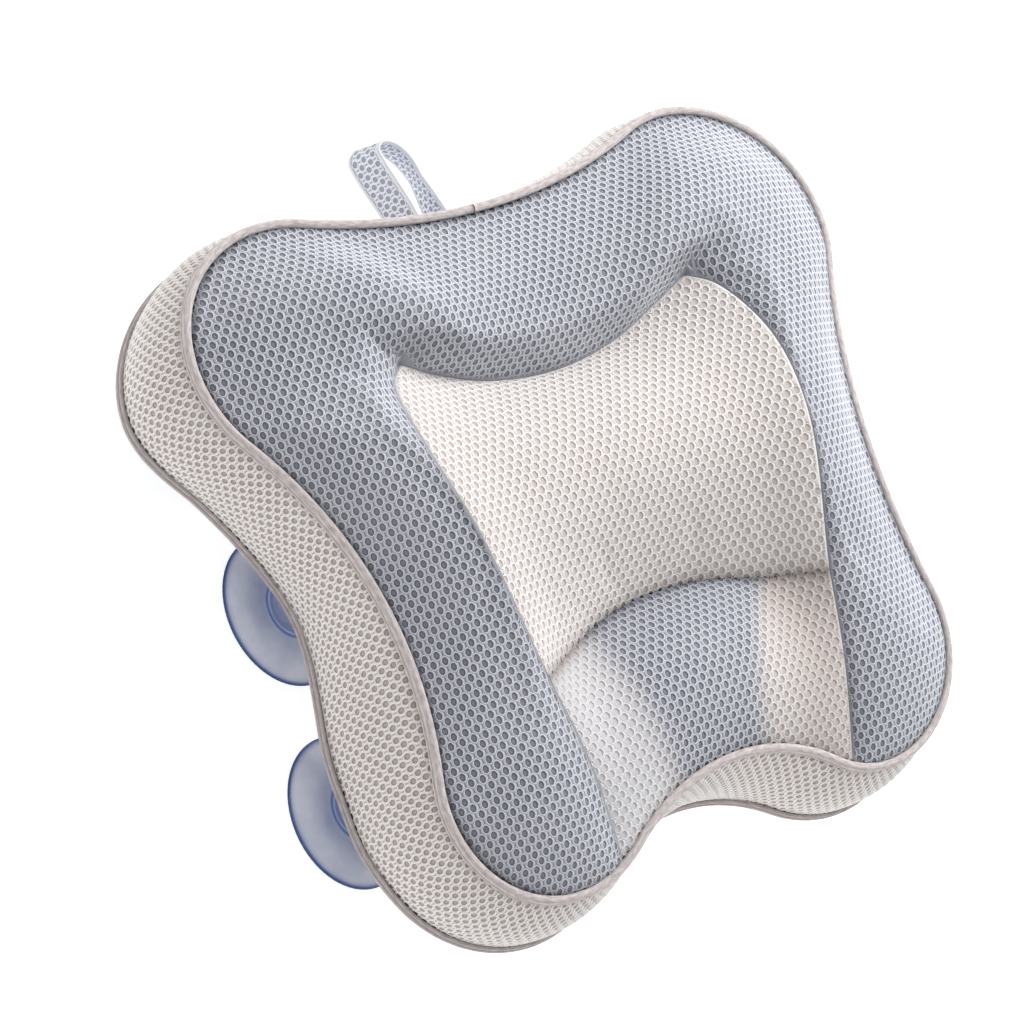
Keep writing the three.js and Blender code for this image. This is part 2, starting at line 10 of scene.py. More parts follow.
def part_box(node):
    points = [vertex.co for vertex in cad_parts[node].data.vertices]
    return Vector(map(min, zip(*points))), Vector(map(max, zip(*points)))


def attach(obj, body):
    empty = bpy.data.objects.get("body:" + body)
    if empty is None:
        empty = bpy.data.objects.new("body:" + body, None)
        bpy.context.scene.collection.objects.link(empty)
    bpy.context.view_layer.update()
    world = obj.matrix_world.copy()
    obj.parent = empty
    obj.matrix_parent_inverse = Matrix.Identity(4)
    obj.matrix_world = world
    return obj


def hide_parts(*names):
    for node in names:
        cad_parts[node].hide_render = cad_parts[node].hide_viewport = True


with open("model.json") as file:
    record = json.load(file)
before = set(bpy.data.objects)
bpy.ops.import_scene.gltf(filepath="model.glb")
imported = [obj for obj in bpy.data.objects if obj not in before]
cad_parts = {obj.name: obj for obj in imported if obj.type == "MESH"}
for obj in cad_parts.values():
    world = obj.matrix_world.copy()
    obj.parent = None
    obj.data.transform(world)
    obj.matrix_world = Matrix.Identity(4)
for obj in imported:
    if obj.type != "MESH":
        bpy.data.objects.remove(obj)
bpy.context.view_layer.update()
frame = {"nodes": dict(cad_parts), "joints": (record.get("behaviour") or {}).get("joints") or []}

scene = bpy.context.scene
mm = 0.001

# outline of the corded front seam, right half: lobes are (x, y, radius), waists are radii
outline = {
    "topLobe": (117.5, 105, 62.2),
    "bottomLobe": (93.5, -104, 55.8),
    "topWaist": 285,
    "sideWaist": 226,
    "bottomWaist": 102,
    "seamEndAngle": -115,
    "arcSteps": (5, 10, 6, 7, 2, 5),
}

# side wall between the two corded seams
wall = {
    "height": 74,
    "sideFall": 9.5,
    "endFall": 19.5,
    "cornerLift": 5,
    "fallSpan": 150,
    "flare": [(170, 4), (112, 9), (70, 1.5), (15, 0.5), (-65, 16), (-125, 8.6)],
    "drop": 2.5,
    "bulge": 4.5,
    "thickness": 3.6,
    "columns": 216,
    "rows": 12,
    "finer": 2,
    # painted shade along the wall's two corded edges
    "folds": {"low": [(0.5, 2.0)], "high": [(0.4, 2.0)]},
    "tuck": (1.7, 1.7),
    "overlap": 6,
    "fill": 0.4,
}

# sewn seams of the front, right half, in millimetres above the back seam
seams = {
    "top": [(0, 64.5, 54), (36, 69, 54), (66, 79.5, 57), (84, 87.5, 62)],
    "cradle": [(84, 87.5, 62), (95, 78, 68), (102, 46, 83), (98.5, 5, 89.5), (84.5, -67, 75.5)],
    "crease": [(0, -46.5, 54), (30, -49.5, 55.5), (58, -58.5, 61), (84.5, -67, 75.5)],
    "neckMiddle": (77, -108, 68.5),
    "cradleSpread": 1.9,
    "curveSteps": 60,
}

# padded panels: swell above the seams before the cloth is blown up, the cloth's own settings, and how a panel
# is gridded and laid flat
padding = {
    "topPuff": 0.235,
    "lobePuff": 0.28,
    "lobeStart": 3,
    "sidePuff": 0.135,
    "topCrest": 1.35,
    "centreSwell": 6.5,
    "neckSwell": 13,
    "swellPower": 0.9,
    "cordHem": 2.9,
    "seamHem": 0.2,
    "pressure": 4,
    "frames": 20,
    "mostSwell": 3.0,
    "chamberFloor": 15,
    "fill": 0.8,
    "finer": 3,
    "layRounds": 500,
    "layEase": 6,
    "hemSteps": 241,
    "pointStop": 0.25,
    "sideTrim": 0.0025,
}

cupTopRow = 105
cordLow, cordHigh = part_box("back_piping")
firstCup = frame["joints"][0]["pos_m"]
pillowOrigin = np.array([0, firstCup[1] - cupTopRow * mm, (cordLow.z + cordHigh.z) / 2])


def toFrame(points):
    return np.asarray(points, float) * mm + pillowOrigin


print("frame loaded:", len(frame["nodes"]), "nodes, pillow origin", pillowOrigin.round(4))


# outline arcs, counted in steps from the middle of the top edge; negative steps lie left
def heading(a, b):
    return math.atan2(b[1] - a[1], b[0] - a[0])


def halfArcs():
    tx, ty, tr = outline["topLobe"]
    bx, by, br = outline["bottomLobe"]
    topRadius, sideRadius, bottomRadius = outline["topWaist"], outline["sideWaist"], outline["bottomWaist"]
    topWaist = (0, ty + math.sqrt((topRadius + tr) ** 2 - tx ** 2))
    bottomWaist = (0, by - math.sqrt((bottomRadius + br) ** 2 - bx ** 2))
    span = math.hypot(bx - tx, by - ty)
    ax, ay = (bx - tx) / span, (by - ty) / span
    upper, lower = sideRadius + tr, sideRadius + br
    foot = (upper ** 2 - lower ** 2 + span ** 2) / (2 * span)
    reach = math.sqrt(upper ** 2 - foot ** 2)
    sideWaist = (tx + ax * foot - ay * reach, ty + ay * foot + ax * reach)
    top, bottom, end = (tx, ty), (bx, by), math.radians(outline["seamEndAngle"])
    runs = [
        (topWaist, topRadius, -math.pi / 2, heading(topWaist, top), -1),
        (top, tr, heading(top, topWaist), heading(top, sideWaist), 1),
        (sideWaist, sideRadius, heading(sideWaist, top), heading(sideWaist, bottom), -1),
        (bottom, br, heading(bottom, sideWaist), end, 1),
        (bottom, br, end, heading(bottom, bottomWaist), 1),
        (bottomWaist, bottomRadius, heading(bottomWaist, bottom), math.pi / 2, -1),
    ]
    arcs = []
    for (centre, radius, start, stop, side), steps in zip(runs, outline["arcSteps"]):
        turn = (stop - start) % (2 * math.pi)
        if side > 0:
            turn -= 2 * math.pi
        arcs.append((centre, radius, start, turn, side, steps))
    return arcs


arcs = halfArcs()
halfSteps = sum(outline["arcSteps"])
seamEndStep = sum(outline["arcSteps"][:4])
tipStep = outline["arcSteps"][0] + outline["arcSteps"][1] / 2
creaseStep = sum(outline["arcSteps"][:3]) - 1


def smooth(share):
    share = np.clip(share, 0, 1)
    return share * share * (3 - 2 * share)


def mix(first, second, share):
    return first + (second - first) * share


def unit(vectors):
    return vectors / np.maximum(np.linalg.norm(vectors, axis=-1, keepdims=True), 1e-9)


# length run along one axis of a grid of points
def runLength(points, axis=0):
    steps = np.linalg.norm(np.diff(points, axis=axis), axis=-1)
    return np.concatenate([np.zeros_like(np.take(steps, [0], axis)), np.cumsum(steps, axis)], axis)


# how far the back seam stands out from the front seam, by height on the pillow
def flareAt(y):
    flare = np.full(np.shape(y), float(wall["flare"][-1][1]))
    for (high, start), (low, end) in reversed(list(zip(wall["flare"], wall["flare"][1:]))):
        flare = np.where(y > low, mix(end, start, smooth((y - low) / (high - low))), flare)
    return flare


def wallTop(x, y):
    across, along = (x / wall["fallSpan"]) ** 2, (y / wall["fallSpan"]) ** 2
    level = wall["height"] - wall["sideFall"] * across - wall["endFall"] * along
    return level + wall["cornerLift"] * across * along


def outlineAt(step):
    step = np.asarray(step, float)
    side = np.where(step < 0, -1.0, 1.0)
    rest = np.minimum(np.abs(step), halfSteps)
    point, out = np.zeros(step.shape + (3,)), np.zeros(step.shape + (2,))
    done = 0
    for centre, radius, start, turn, bow, steps in arcs:
        here = (rest >= done) & (rest <= done + steps)
        angle = start + turn * (rest - done) / steps
        x, y = centre[0] + radius * np.cos(angle), centre[1] + radius * np.sin(angle)
        point[here] = np.stack([side * x, y, wallTop(x, y)], -1)[here]
        out[here] = np.stack([side * bow * np.cos(angle), bow * np.sin(angle)], -1)[here]
        done += steps
    return point, out


# centripetal spline through the seam's points, read by its share of length
def seamCurve(points):
    p = np.array(points, float)
    p = np.vstack([2 * p[0] - p[1], p, 2 * p[-1] - p[-2]])
    t = np.linspace(0, 1, seams["curveSteps"])[:, None]
    dense = []
    for a, b, c, d in zip(p, p[1:], p[2:], p[3:]):
        k0, k1, k2 = (math.sqrt(np.linalg.norm(e)) for e in (b - a, c - b, d - c))
        m1 = ((b - a) / k0 - (c - a) / (k0 + k1) + (c - b) / k1) * k1
        m2 = ((c - b) / k1 - (d - b) / (k1 + k2) + (d - c) / k2) * k1
        dense.append(b + m1 * t + (3 * (c - b) - 2 * m1 - m2) * t ** 2 + (2 * (b - c) + m1 + m2) * t ** 3)
    line = np.vstack(dense)
    length = runLength(line)
    length /= length[-1]
    return lambda share: np.stack([np.interp(share, length, line[:, k]) for k in range(3)], -1)


def bothSides(half):
    return [(-x, y, z) for x, y, z in half[:0:-1]] + list(half)


def mirrored(points):
    return points * np.array([-1, 1, 1])


seamFoot = outlineAt(seamEndStep)[0]
topSeam = seamCurve(bothSides(seams["top"]))
crease = seamCurve(bothSides(seams["crease"]))
cradleSide = seamCurve(seams["cradle"])
neckSide = seamCurve([seams["crease"][-1], seams["neckMiddle"], tuple(seamFoot)])


def innerSeamAt(step):
    reach = np.abs(step)
    side = np.where(step < 0, -1.0, 1.0)[..., None] * np.array([1, 0, 0]) + np.array([0, 1, 1])
    along = np.clip((reach - tipStep) / (creaseStep - tipStep), 0, 1) ** seams["cradleSpread"]
    below = np.clip((reach - creaseStep) / (seamEndStep - creaseStep), 0, 1)
    point = np.where((reach <= creaseStep)[..., None], cradleSide(along) * side, neckSide(below) * side)
    return np.where((reach <= tipStep)[..., None], topSeam(0.5 + 0.5 * step / tipStep), point)


def swell(share):
    return np.clip(4 * share * (1 - share), 0, 1) ** padding["swellPower"]


# the horseshoe is fullest at the top lobes, and its crest lies nearer the inner seam along the top
def puffAt(step):
    waist, lobe = outline["arcSteps"][:2]
    puff = mix(padding["topPuff"], padding["lobePuff"], smooth(np.abs(step) / (waist + padding["lobeStart"])))
    return mix(puff, padding["sidePuff"], smooth((np.abs(step) - waist) / lobe))


def crestAt(step):
    waist, lobe = outline["arcSteps"][:2]
    return mix(padding["topCrest"], 1, smooth((np.abs(step) - waist) / lobe))


def horseshoe(u, v):
    step = (2 * u - 1) * seamEndStep
    outer, inner = outlineAt(step)[0], innerSeamAt(step)
    width = np.hypot(*np.moveaxis(inner - outer, -1, 0)[:2])
    point = mix(outer, inner, v[..., None])
    point[..., 2] += puffAt(step) * width * swell(v ** crestAt(step))
    return point


# a patch between four seams: low and high run left to right, the side seam runs down and is mirrored
def stretched(low, high, side, height):
    def patch(u, v):
        a, b = u[..., None], v[..., None]
        zero, one = np.zeros(1), np.ones(1)
        right = side(1 - v)
        point = low(u) * (1 - b) + high(u) * b + mirrored(right) * (1 - a) + right * a
        point = point - low(zero) * (1 - a) * (1 - b) - low(one) * a * (1 - b)
        point = point - high(zero) * (1 - a) * b - high(one) * a * b
        point[..., 2] += height * swell(u) * swell(v)
        return point
    return patch


def neckFoot(u):
    fromMiddle = (2 * u - 1) * (halfSteps - seamEndStep)
    return outlineAt(np.where(fromMiddle < 0, -1, 1) * (halfSteps - np.abs(fromMiddle)))[0]


centre = stretched(crease, topSeam, cradleSide, padding["centreSwell"])
neck = stretched(neckFoot, crease, neckSide, padding["neckSwell"])


# grid of a panel, trimmed by its hems along the low and the high seam
def panelGrid(surface, u, rows, lowHem, highHem):
    u = np.asarray(u)[:, None]
    fine = np.linspace(0, 1, padding["hemSteps"])[None, :]
    dense = surface(u + 0 * fine, fine + 0 * u)
    fromLow = np.linalg.norm(dense - dense[:, :1], axis=-1)
    fromHigh = np.linalg.norm(dense - dense[:, -1:], axis=-1)
    half = fine.size // 2
    low = np.array([np.interp(lowHem, d[:half], fine[0, :half]) for d in fromLow])[:, None]
    high = np.array([np.interp(highHem, d[::-1][:half], fine[0, ::-1][:half]) for d in fromHigh])[:, None]
    v = mix(low, high, np.linspace(0, 1, rows + 1)[None, :])
    return surface(u + 0 * v, v)


def wallGrid(steps, rows):
    p, out = outlineAt(np.asarray(steps, float))
    hem = padding["cordHem"] / p[:, 2:3]
    t = hem + (1 - 2 * hem) * np.linspace(0, 1, rows + 1)[None, :]
    reach = flareAt(p[:, 1:2]) * t + wall["bulge"] * np.sin(math.pi * t)
    x = p[:, :1] + out[:, :1] * reach
    y = p[:, 1:2] + out[:, 1:] * reach - wall["drop"] * t
    return np.stack([x, y, p[:, 2:3] * (1 - t)], -1)


# faces of a grid of points; closed joins its last column to the first, and ring its last row
def gridFaces(columns, rows, closed=False, ring=False):
    i, j = np.indices((columns if closed else columns - 1, rows if ring else rows - 1))
    nextI, nextJ = (i + 1) % columns, (j + 1) % rows
    corners = [i * rows + j, nextI * rows + j, nextI * rows + nextJ, i * rows + nextJ]
    return np.stack(corners, -1).reshape(-1, 4)


def newPiece(name, points, faces, smooth=True):
    mesh = bpy.data.meshes.new(name)
    corners = np.asarray(points, float).reshape(-1, 3).tolist()
    mesh.from_pydata(corners, [], [list(map(int, f)) for f in faces])
    mesh.polygons.foreach_set("use_smooth", [smooth] * len(mesh.polygons))
    mesh.update()
    piece = bpy.data.objects.new(name, mesh)
    scene.collection.objects.link(piece)
    return piece


def setValues(piece, **layers):
    for name, values in layers.items():
        layer = piece.data.attributes.new(name, "FLOAT", "POINT")
        layer.data.foreach_set("value", np.asarray(values, np.float32).ravel())


def setMap(piece, name, flat):
    corners = np.zeros(len(piece.data.loops), int)
    piece.data.loops.foreach_get("vertex_index", corners)
    layer = piece.data.uv_layers.new(name=name)
    layer.uv.foreach_set("vector", np.asarray(flat, np.float32).reshape(-1, 2)[corners].ravel())


# turns a closed piece's faces outwards
def faceOut(piece):
    solid = bmesh.new()
    solid.from_mesh(piece.data)
    if solid.calc_volume(signed=True) < 0:
        piece.data.flip_normals()
    solid.free()


def removePiece(piece):
    mesh = piece.data
    bpy.data.objects.remove(piece)
    bpy.data.meshes.remove(mesh)


# blows a sewn panel up from inside, held along its seams, with a soft limit on how far it moves
def inflate(name, grid, closed=False):
    columns, rows = grid.shape[:2]
    sheet = newPiece(name + "_cloth", toFrame(grid), gridFaces(columns, rows, closed))
    index = np.arange(columns * rows).reshape(columns, rows)
    held = set(index[:, 0]) | set(index[:, -1])
    if not closed:
        held |= set(index[0]) | set(index[-1])
    group = sheet.vertex_groups.new(name="seam")
    group.add([int(i) for i in held], 1.0, "REPLACE")
    cloth = sheet.modifiers.new("Cloth", "CLOTH")
    cloth.settings.vertex_group_mass = "seam"
    cloth.settings.use_pressure = True
    cloth.settings.uniform_pressure_force = padding["pressure"]
    cloth.settings.effector_weights.gravity = 0
    cloth.point_cache.frame_start = 1
    cloth.point_cache.frame_end = padding["frames"]
    for number in range(1, padding["frames"] + 1):
        scene.frame_set(number)
    blown = sheet.evaluated_get(bpy.context.evaluated_depsgraph_get())
    points = np.zeros(columns * rows * 3, np.float32)
    blown.data.vertices.foreach_get("co", points)
    moved = (points.reshape(grid.shape) - pillowOrigin) / mm - grid
    size = np.linalg.norm(moved, axis=-1, keepdims=True)
    scene.frame_set(1)
    removePiece(sheet)
    print("cloth", name, "moved", round(float(size.max()), 2), "mm at most before the limit")
    return grid + moved / (1 + size / padding["mostSwell"])


# finer grid through the same points
def refine(grid, times, closed=False):
    for axis in (0, 1):
        wrap = closed and axis == 0
        n = grid.shape[axis]
        if wrap:
            padded = np.take(grid, np.arange(-1, n + 2) % n, axis)
        else:
            first = 2 * np.take(grid, [0], axis) - np.take(grid, [1], axis)
            last = 2 * np.take(grid, [n - 1], axis) - np.take(grid, [n - 2], axis)
            padded = np.concatenate([first, grid, last], axis)
        spot = np.arange(n * times if wrap else (n - 1) * times + 1) / times
        base = np.minimum(spot.astype(int), n - 1 if wrap else n - 2)
        t = (spot - base).reshape([-1 if k == axis else 1 for k in range(grid.ndim)])
        a, b, c, d = (np.take(padded, base + shift, axis) for shift in range(4))
        grid = b + 0.5 * t * (c - a + t * (2 * a - 5 * b + 4 * c - d + t * (3 * (b - c) + d - a)))
    return grid


def normalsOf(grid, closed=False):
    along = np.roll(grid, -1, 0) - np.roll(grid, 1, 0) if closed else np.gradient(grid, axis=0)
    return unit(np.cross(along, np.gradient(grid, axis=1)))


# lays a panel flat at its true size, starting from its plan, so that the mesh keeps its lengths
def flatten(grid):
    flat = grid[..., :2].copy()
    every, back, front = slice(None), slice(None, -1), slice(1, None)
    pairs = [((back, every), (front, every)), ((every, back), (every, front))]
    pairs += [((back, back), (front, front)), ((back, front), (front, back))]
    lengths = [np.linalg.norm(grid[b] - grid[a], axis=-1) for a, b in pairs]
    for _ in range(padding["layRounds"]):
        push = np.zeros_like(flat)
        for (a, b), rest in zip(pairs, lengths):
            way = flat[b] - flat[a]
            size = np.maximum(np.linalg.norm(way, axis=-1), 1e-6)
            move = way * (0.5 * (1 - rest / size))[..., None]
            push[a] += move
            push[b] -= move
        flat += push / padding["layEase"]
    return flat


# wraps a socket of a node tree, so that expressions add their own nodes
class Wire:
    def __init__(self, tree, socket=None):
        self.tree = tree
        self.socket = socket

    def node(self, kind, settings=None, values=None, out=0):
        made = self.tree.nodes.new(kind)
        for key, value in (settings or {}).items():
            setattr(made, key, value)
        setInputs(made, values or {})
        return Wire(self.tree, made.outputs[out])

    def math(self, operation, a, b=0.0):
        return self.node("ShaderNodeMath", {"operation": operation}, {0: a, 1: b})

    def __add__(self, other):
        return self.math("ADD", self, other)

    __radd__ = __add__

    def __sub__(self, other):
        return self.math("SUBTRACT", self, other)

    def __rsub__(self, other):
        return self.math("SUBTRACT", other, self)

    def __mul__(self, other):
        return self.math("MULTIPLY", self, other)

    __rmul__ = __mul__

    def between(self, low, high, smooth=True):
        kind = {"interpolation_type": "SMOOTHSTEP" if smooth else "LINEAR"}
        return self.node("ShaderNodeMapRange", kind, {"Value": self, "From Min": low, "From Max": high})

    def blend(self, first, second):
        values = {"Factor": self, "A": first, "B": second}
        return self.node("ShaderNodeMix", {"data_type": "RGBA"}, values, out="Result")


def paint(red, green, blue):
    def linear(c):
        c /= 255
        return c / 12.92 if c <= 0.04045 else ((c + 0.055) / 1.055) ** 2.4
    return (linear(red), linear(green), linear(blue), 1.0)


def newMaterial(name):
    material = bpy.data.materials.new(name)
    material.use_nodes = True
    tree = material.node_tree
    return material, Wire(tree), tree.nodes["Principled BSDF"]


def setInputs(node, values):
    for key, value in values.items():
        if isinstance(value, Wire):
            value.tree.links.new(value.socket, node.inputs[key])
        else:
            node.inputs[key].default_value = value


def attribute(wire, name):
    return wire.node("ShaderNodeAttribute", {"attribute_name": name}, out="Fac")


def noiseOf(wire, place, scale, detail=2.0):
    return wire.node("ShaderNodeTexNoise", None, {"Vector": place, "Scale": scale, "Detail": detail})


# one cell of the spacer mesh: an oval hole with a raised yarn ring, out to its six-sided border
cell = {
    "pitch": 5.4,
    "row": 3.55,
    "holeAcross": 1.24,
    "holeAlong": 1.7,
    "ring": 0.34,
    "ringFoot": 0.62,
    "crest": 0.22,
    "webLevel": -0.08,
    "depth": 0.46,
    "footYarn": 0.55,
    "webYarn": 0.5,
    "weld": 0.02,
    "spare": 3,
}

# tones of each mesh: the floor seen in its holes, darker partly as painted shade under the yarn; the floor's
# deep middle, lighter where less shade is painted; web; yarn rings, lightest partly as a painted highlight on
# their crests; and the painted shade of the folds
tones = {
    "blue": [(110, 111, 121), (138, 139, 148), (198, 200, 210), (240, 242, 249), (70, 71, 80)],
    "white": [(190, 177, 171), (206, 193, 188), (234, 231, 230), (249, 249, 249), (134, 122, 117)],
    "wall": [(158, 144, 138), (182, 167, 161), (239, 234, 231), (253, 251, 249), (120, 109, 105)],
    "loop": [(124, 131, 154), (150, 155, 172), (224, 227, 234), (240, 242, 246), (120, 124, 140)],
}
toneNames = ("Floor", "Deep", "Web", "Ring", "Fold")
finishes = {tone + key: paint(*c) for tone, row in tones.items() for key, c in zip(toneNames, row)}

# fine look of the mesh: yarn fuzz, cloudy patches, and the heights at which one tone gives way to the next
yarnLook = {
    "fuzzScale": 2600,
    "fuzzDetail": 3.0,
    "fuzz": 0.35,
    "patchScale": 28,
    "patchSpan": (0.3, 0.7),
    "patch": 0.05,
    "deepSpan": (0.35, 0.85),
    "webSpan": (0.12, 0.5),
    "ringSpan": (0.55, 0.95),
    "pinSpan": (0.45, 0.8),
    "pinShare": 0.85,
    "bump": {"Strength": 0.35, "Distance": 0.0002},
    "shader": {"Roughness": 0.88, "Sheen Weight": 0.12, "Specular IOR Level": 0.25},
}

# neck panel: the blue field's edges as points (x, y), the side that is blue and the softness, then the tints
# beside the field as tone, share and reach along x: a darker, warmer painted shade right of the field and a
# lighter, cooler painted light left of it
neckTint = {
    "edges": [
        ([(-46, -54), (-43, -84), (-37, -114)], 1, 13.0),
        ([(60, -58), (31, -90), (23, -125)], -1, 9.0),
    ],
    "sides": [
        (paint(184, 170, 164), 0.4, (30.0, 60.0)),
        (paint(227, 231, 239), 0.42, (-20.0, -45.0)),
    ],
}


def parts(wire, vector):
    split = wire.node("ShaderNodeSeparateXYZ", None, {0: vector})
    return [Wire(wire.tree, socket) for socket in split.socket.node.outputs]


# mask of the blue field, from the place on the pillow; each edge is a bow through its points
def neckField(wire, place):
    x, y, _ = parts(wire, place)
    x, y = x * (1 / mm), (y - pillowOrigin[1]) * (1 / mm)
    mask = 1.0
    for points, way, soft in neckTint["edges"]:
        across, up = np.transpose(points)
        bow, slope, start = [float(c) for c in np.polyfit(up, across, 2)]
        edge = (y * bow + slope) * y + start
        mask = ((x - edge) * way).between(-soft, soft) * mask
    return mask


# distance from the nearest hole's middle, in hole sizes, on a lining that carries the cells' map
def holeShare(wire):
    u, v, _ = parts(wire, wire.node("ShaderNodeUVMap", {"uv_map": "cells"}))

    def away(shift):
        a = (wire.math("FRACT", u + shift) - 0.5) * (cell["pitch"] / cell["holeAcross"])
        b = (wire.math("FRACT", v + shift) - 0.5) * (2 * cell["row"] / cell["holeAlong"])
        return wire.math("SQRT", a * a + b * b)
    return wire.math("MINIMUM", away(0.5), away(0.0))


def airMesh(name, tone, field=False):
    look = yarnLook
    material, wire, shader = newMaterial(name)
    place = wire.node("ShaderNodeTexCoord", out="Object")
    yarn, pin, fold, lined = (attribute(wire, key) for key in ("yarn", "pin", "fold", "lined"))
    fuzz = noiseOf(wire, place, look["fuzzScale"], look["fuzzDetail"])
    patch = noiseOf(wire, place, look["patchScale"])
    level = yarn + (fuzz - 0.5) * look["fuzz"]
    mask = neckField(wire, place) if field else None

    def tint(key):
        if field:
            return mask.blend(finishes["white" + key], finishes["blue" + key])
        return finishes[tone + key]

    # the hole floors and the pinholes at the cell corners are painted darker as shade: darkest at a hole's
    # edge under its yarn ring and lighter in its middle, the floor tone being partly the lower layer's own
    # colour
    middle = (1 - holeShare(wire).between(*look["deepSpan"])) * lined
    colour = middle.blend(tint("Floor"), tint("Deep"))
    colour = level.between(*look["webSpan"]).blend(colour, tint("Web"))
    # the ring tone on the raised crests is partly the yarn's own colour and partly a painted highlight
    colour = level.between(*look["ringSpan"]).blend(colour, tint("Ring"))
    colour = (pin.between(*look["pinSpan"]) * look["pinShare"]).blend(colour, tint("Floor"))
    colour = (patch.between(*look["patchSpan"]) * look["patch"]).blend(colour, paint(255, 255, 255))
    if field:
        # painted shade right of the blue field and painted light left of it
        for shade, share, reach in neckTint["sides"]:
            across = parts(wire, place)[0].between(*[x * mm for x in reach])
            colour = (across * (1 - mask) * share).blend(colour, shade)
    # painted shade in the folds and along the seams, cords and tips
    colour = fold.blend(colour, tint("Fold"))
    bump = wire.node("ShaderNodeBump", None, {**look["bump"], "Height": fuzz})
    setInputs(shader, {"Base Color": colour, "Normal": bump, **look["shader"]})
    return material


blueMesh = airMesh("blue air mesh", "blue")
whiteMesh = airMesh("white air mesh", "white")
neckMesh = airMesh("neck air mesh", "white", field=True)
wallMesh = airMesh("wall air mesh", "wall")


def meshCell():
    a, h = cell["pitch"], cell["row"]
    apex = (a * a / 4 + h * h) / (2 * h)
    shoulder = apex - a * a / (4 * h)
    left = [(0, apex), (-a / 2, shoulder), (-a / 2, -shoulder)]
    corners = left + [(-x, -y) for x, y in left]
    angles = []
    for (x0, y0), (x1, y1) in zip(corners, corners[1:] + corners[:1]):
        angles += [math.atan2(y0, x0), math.atan2(y0 + y1, x0 + x1)]
    rings = [
        (0, -cell["depth"], 0.0),
        (cell["ring"], cell["crest"], 1.0),
        (cell["ringFoot"], cell["webLevel"] / 2, cell["footYarn"]),
    ]
    points, yarn = [], []
    for grow, level, share in rings:
        across, along = cell["holeAcross"] + grow, cell["holeAlong"] + grow
        points += [(across * math.cos(angle), along * math.sin(angle), level) for angle in angles]
        yarn += [share] * len(angles)
    border, count = len(points), len(angles)
    points += [(x, y, cell["webLevel"]) for x, y in corners]
    yarn += [cell["webYarn"]] * len(corners)
    faces = gridFaces(len(rings), count, ring=True).tolist()
    foot = border - count
    for k in range(len(corners)):
        after = border + (k + 1) % len(corners)
        faces.append((foot + 2 * k, border + k, foot + 2 * k + 1))
        faces.append((foot + 2 * k + 1, border + k, after, foot + (2 * k + 2) % count))
    piece = bpy.data.objects.new("mesh_cell", bpy.data.meshes.new("mesh_cell"))
    piece.data.from_pydata([(x * mm, y * mm, z * mm) for x, y, z in points], [], faces)
    setValues(piece, yarn=yarn, pin=[0] * border + [1] * len(corners))
    return piece


meshCellPiece = meshCell()


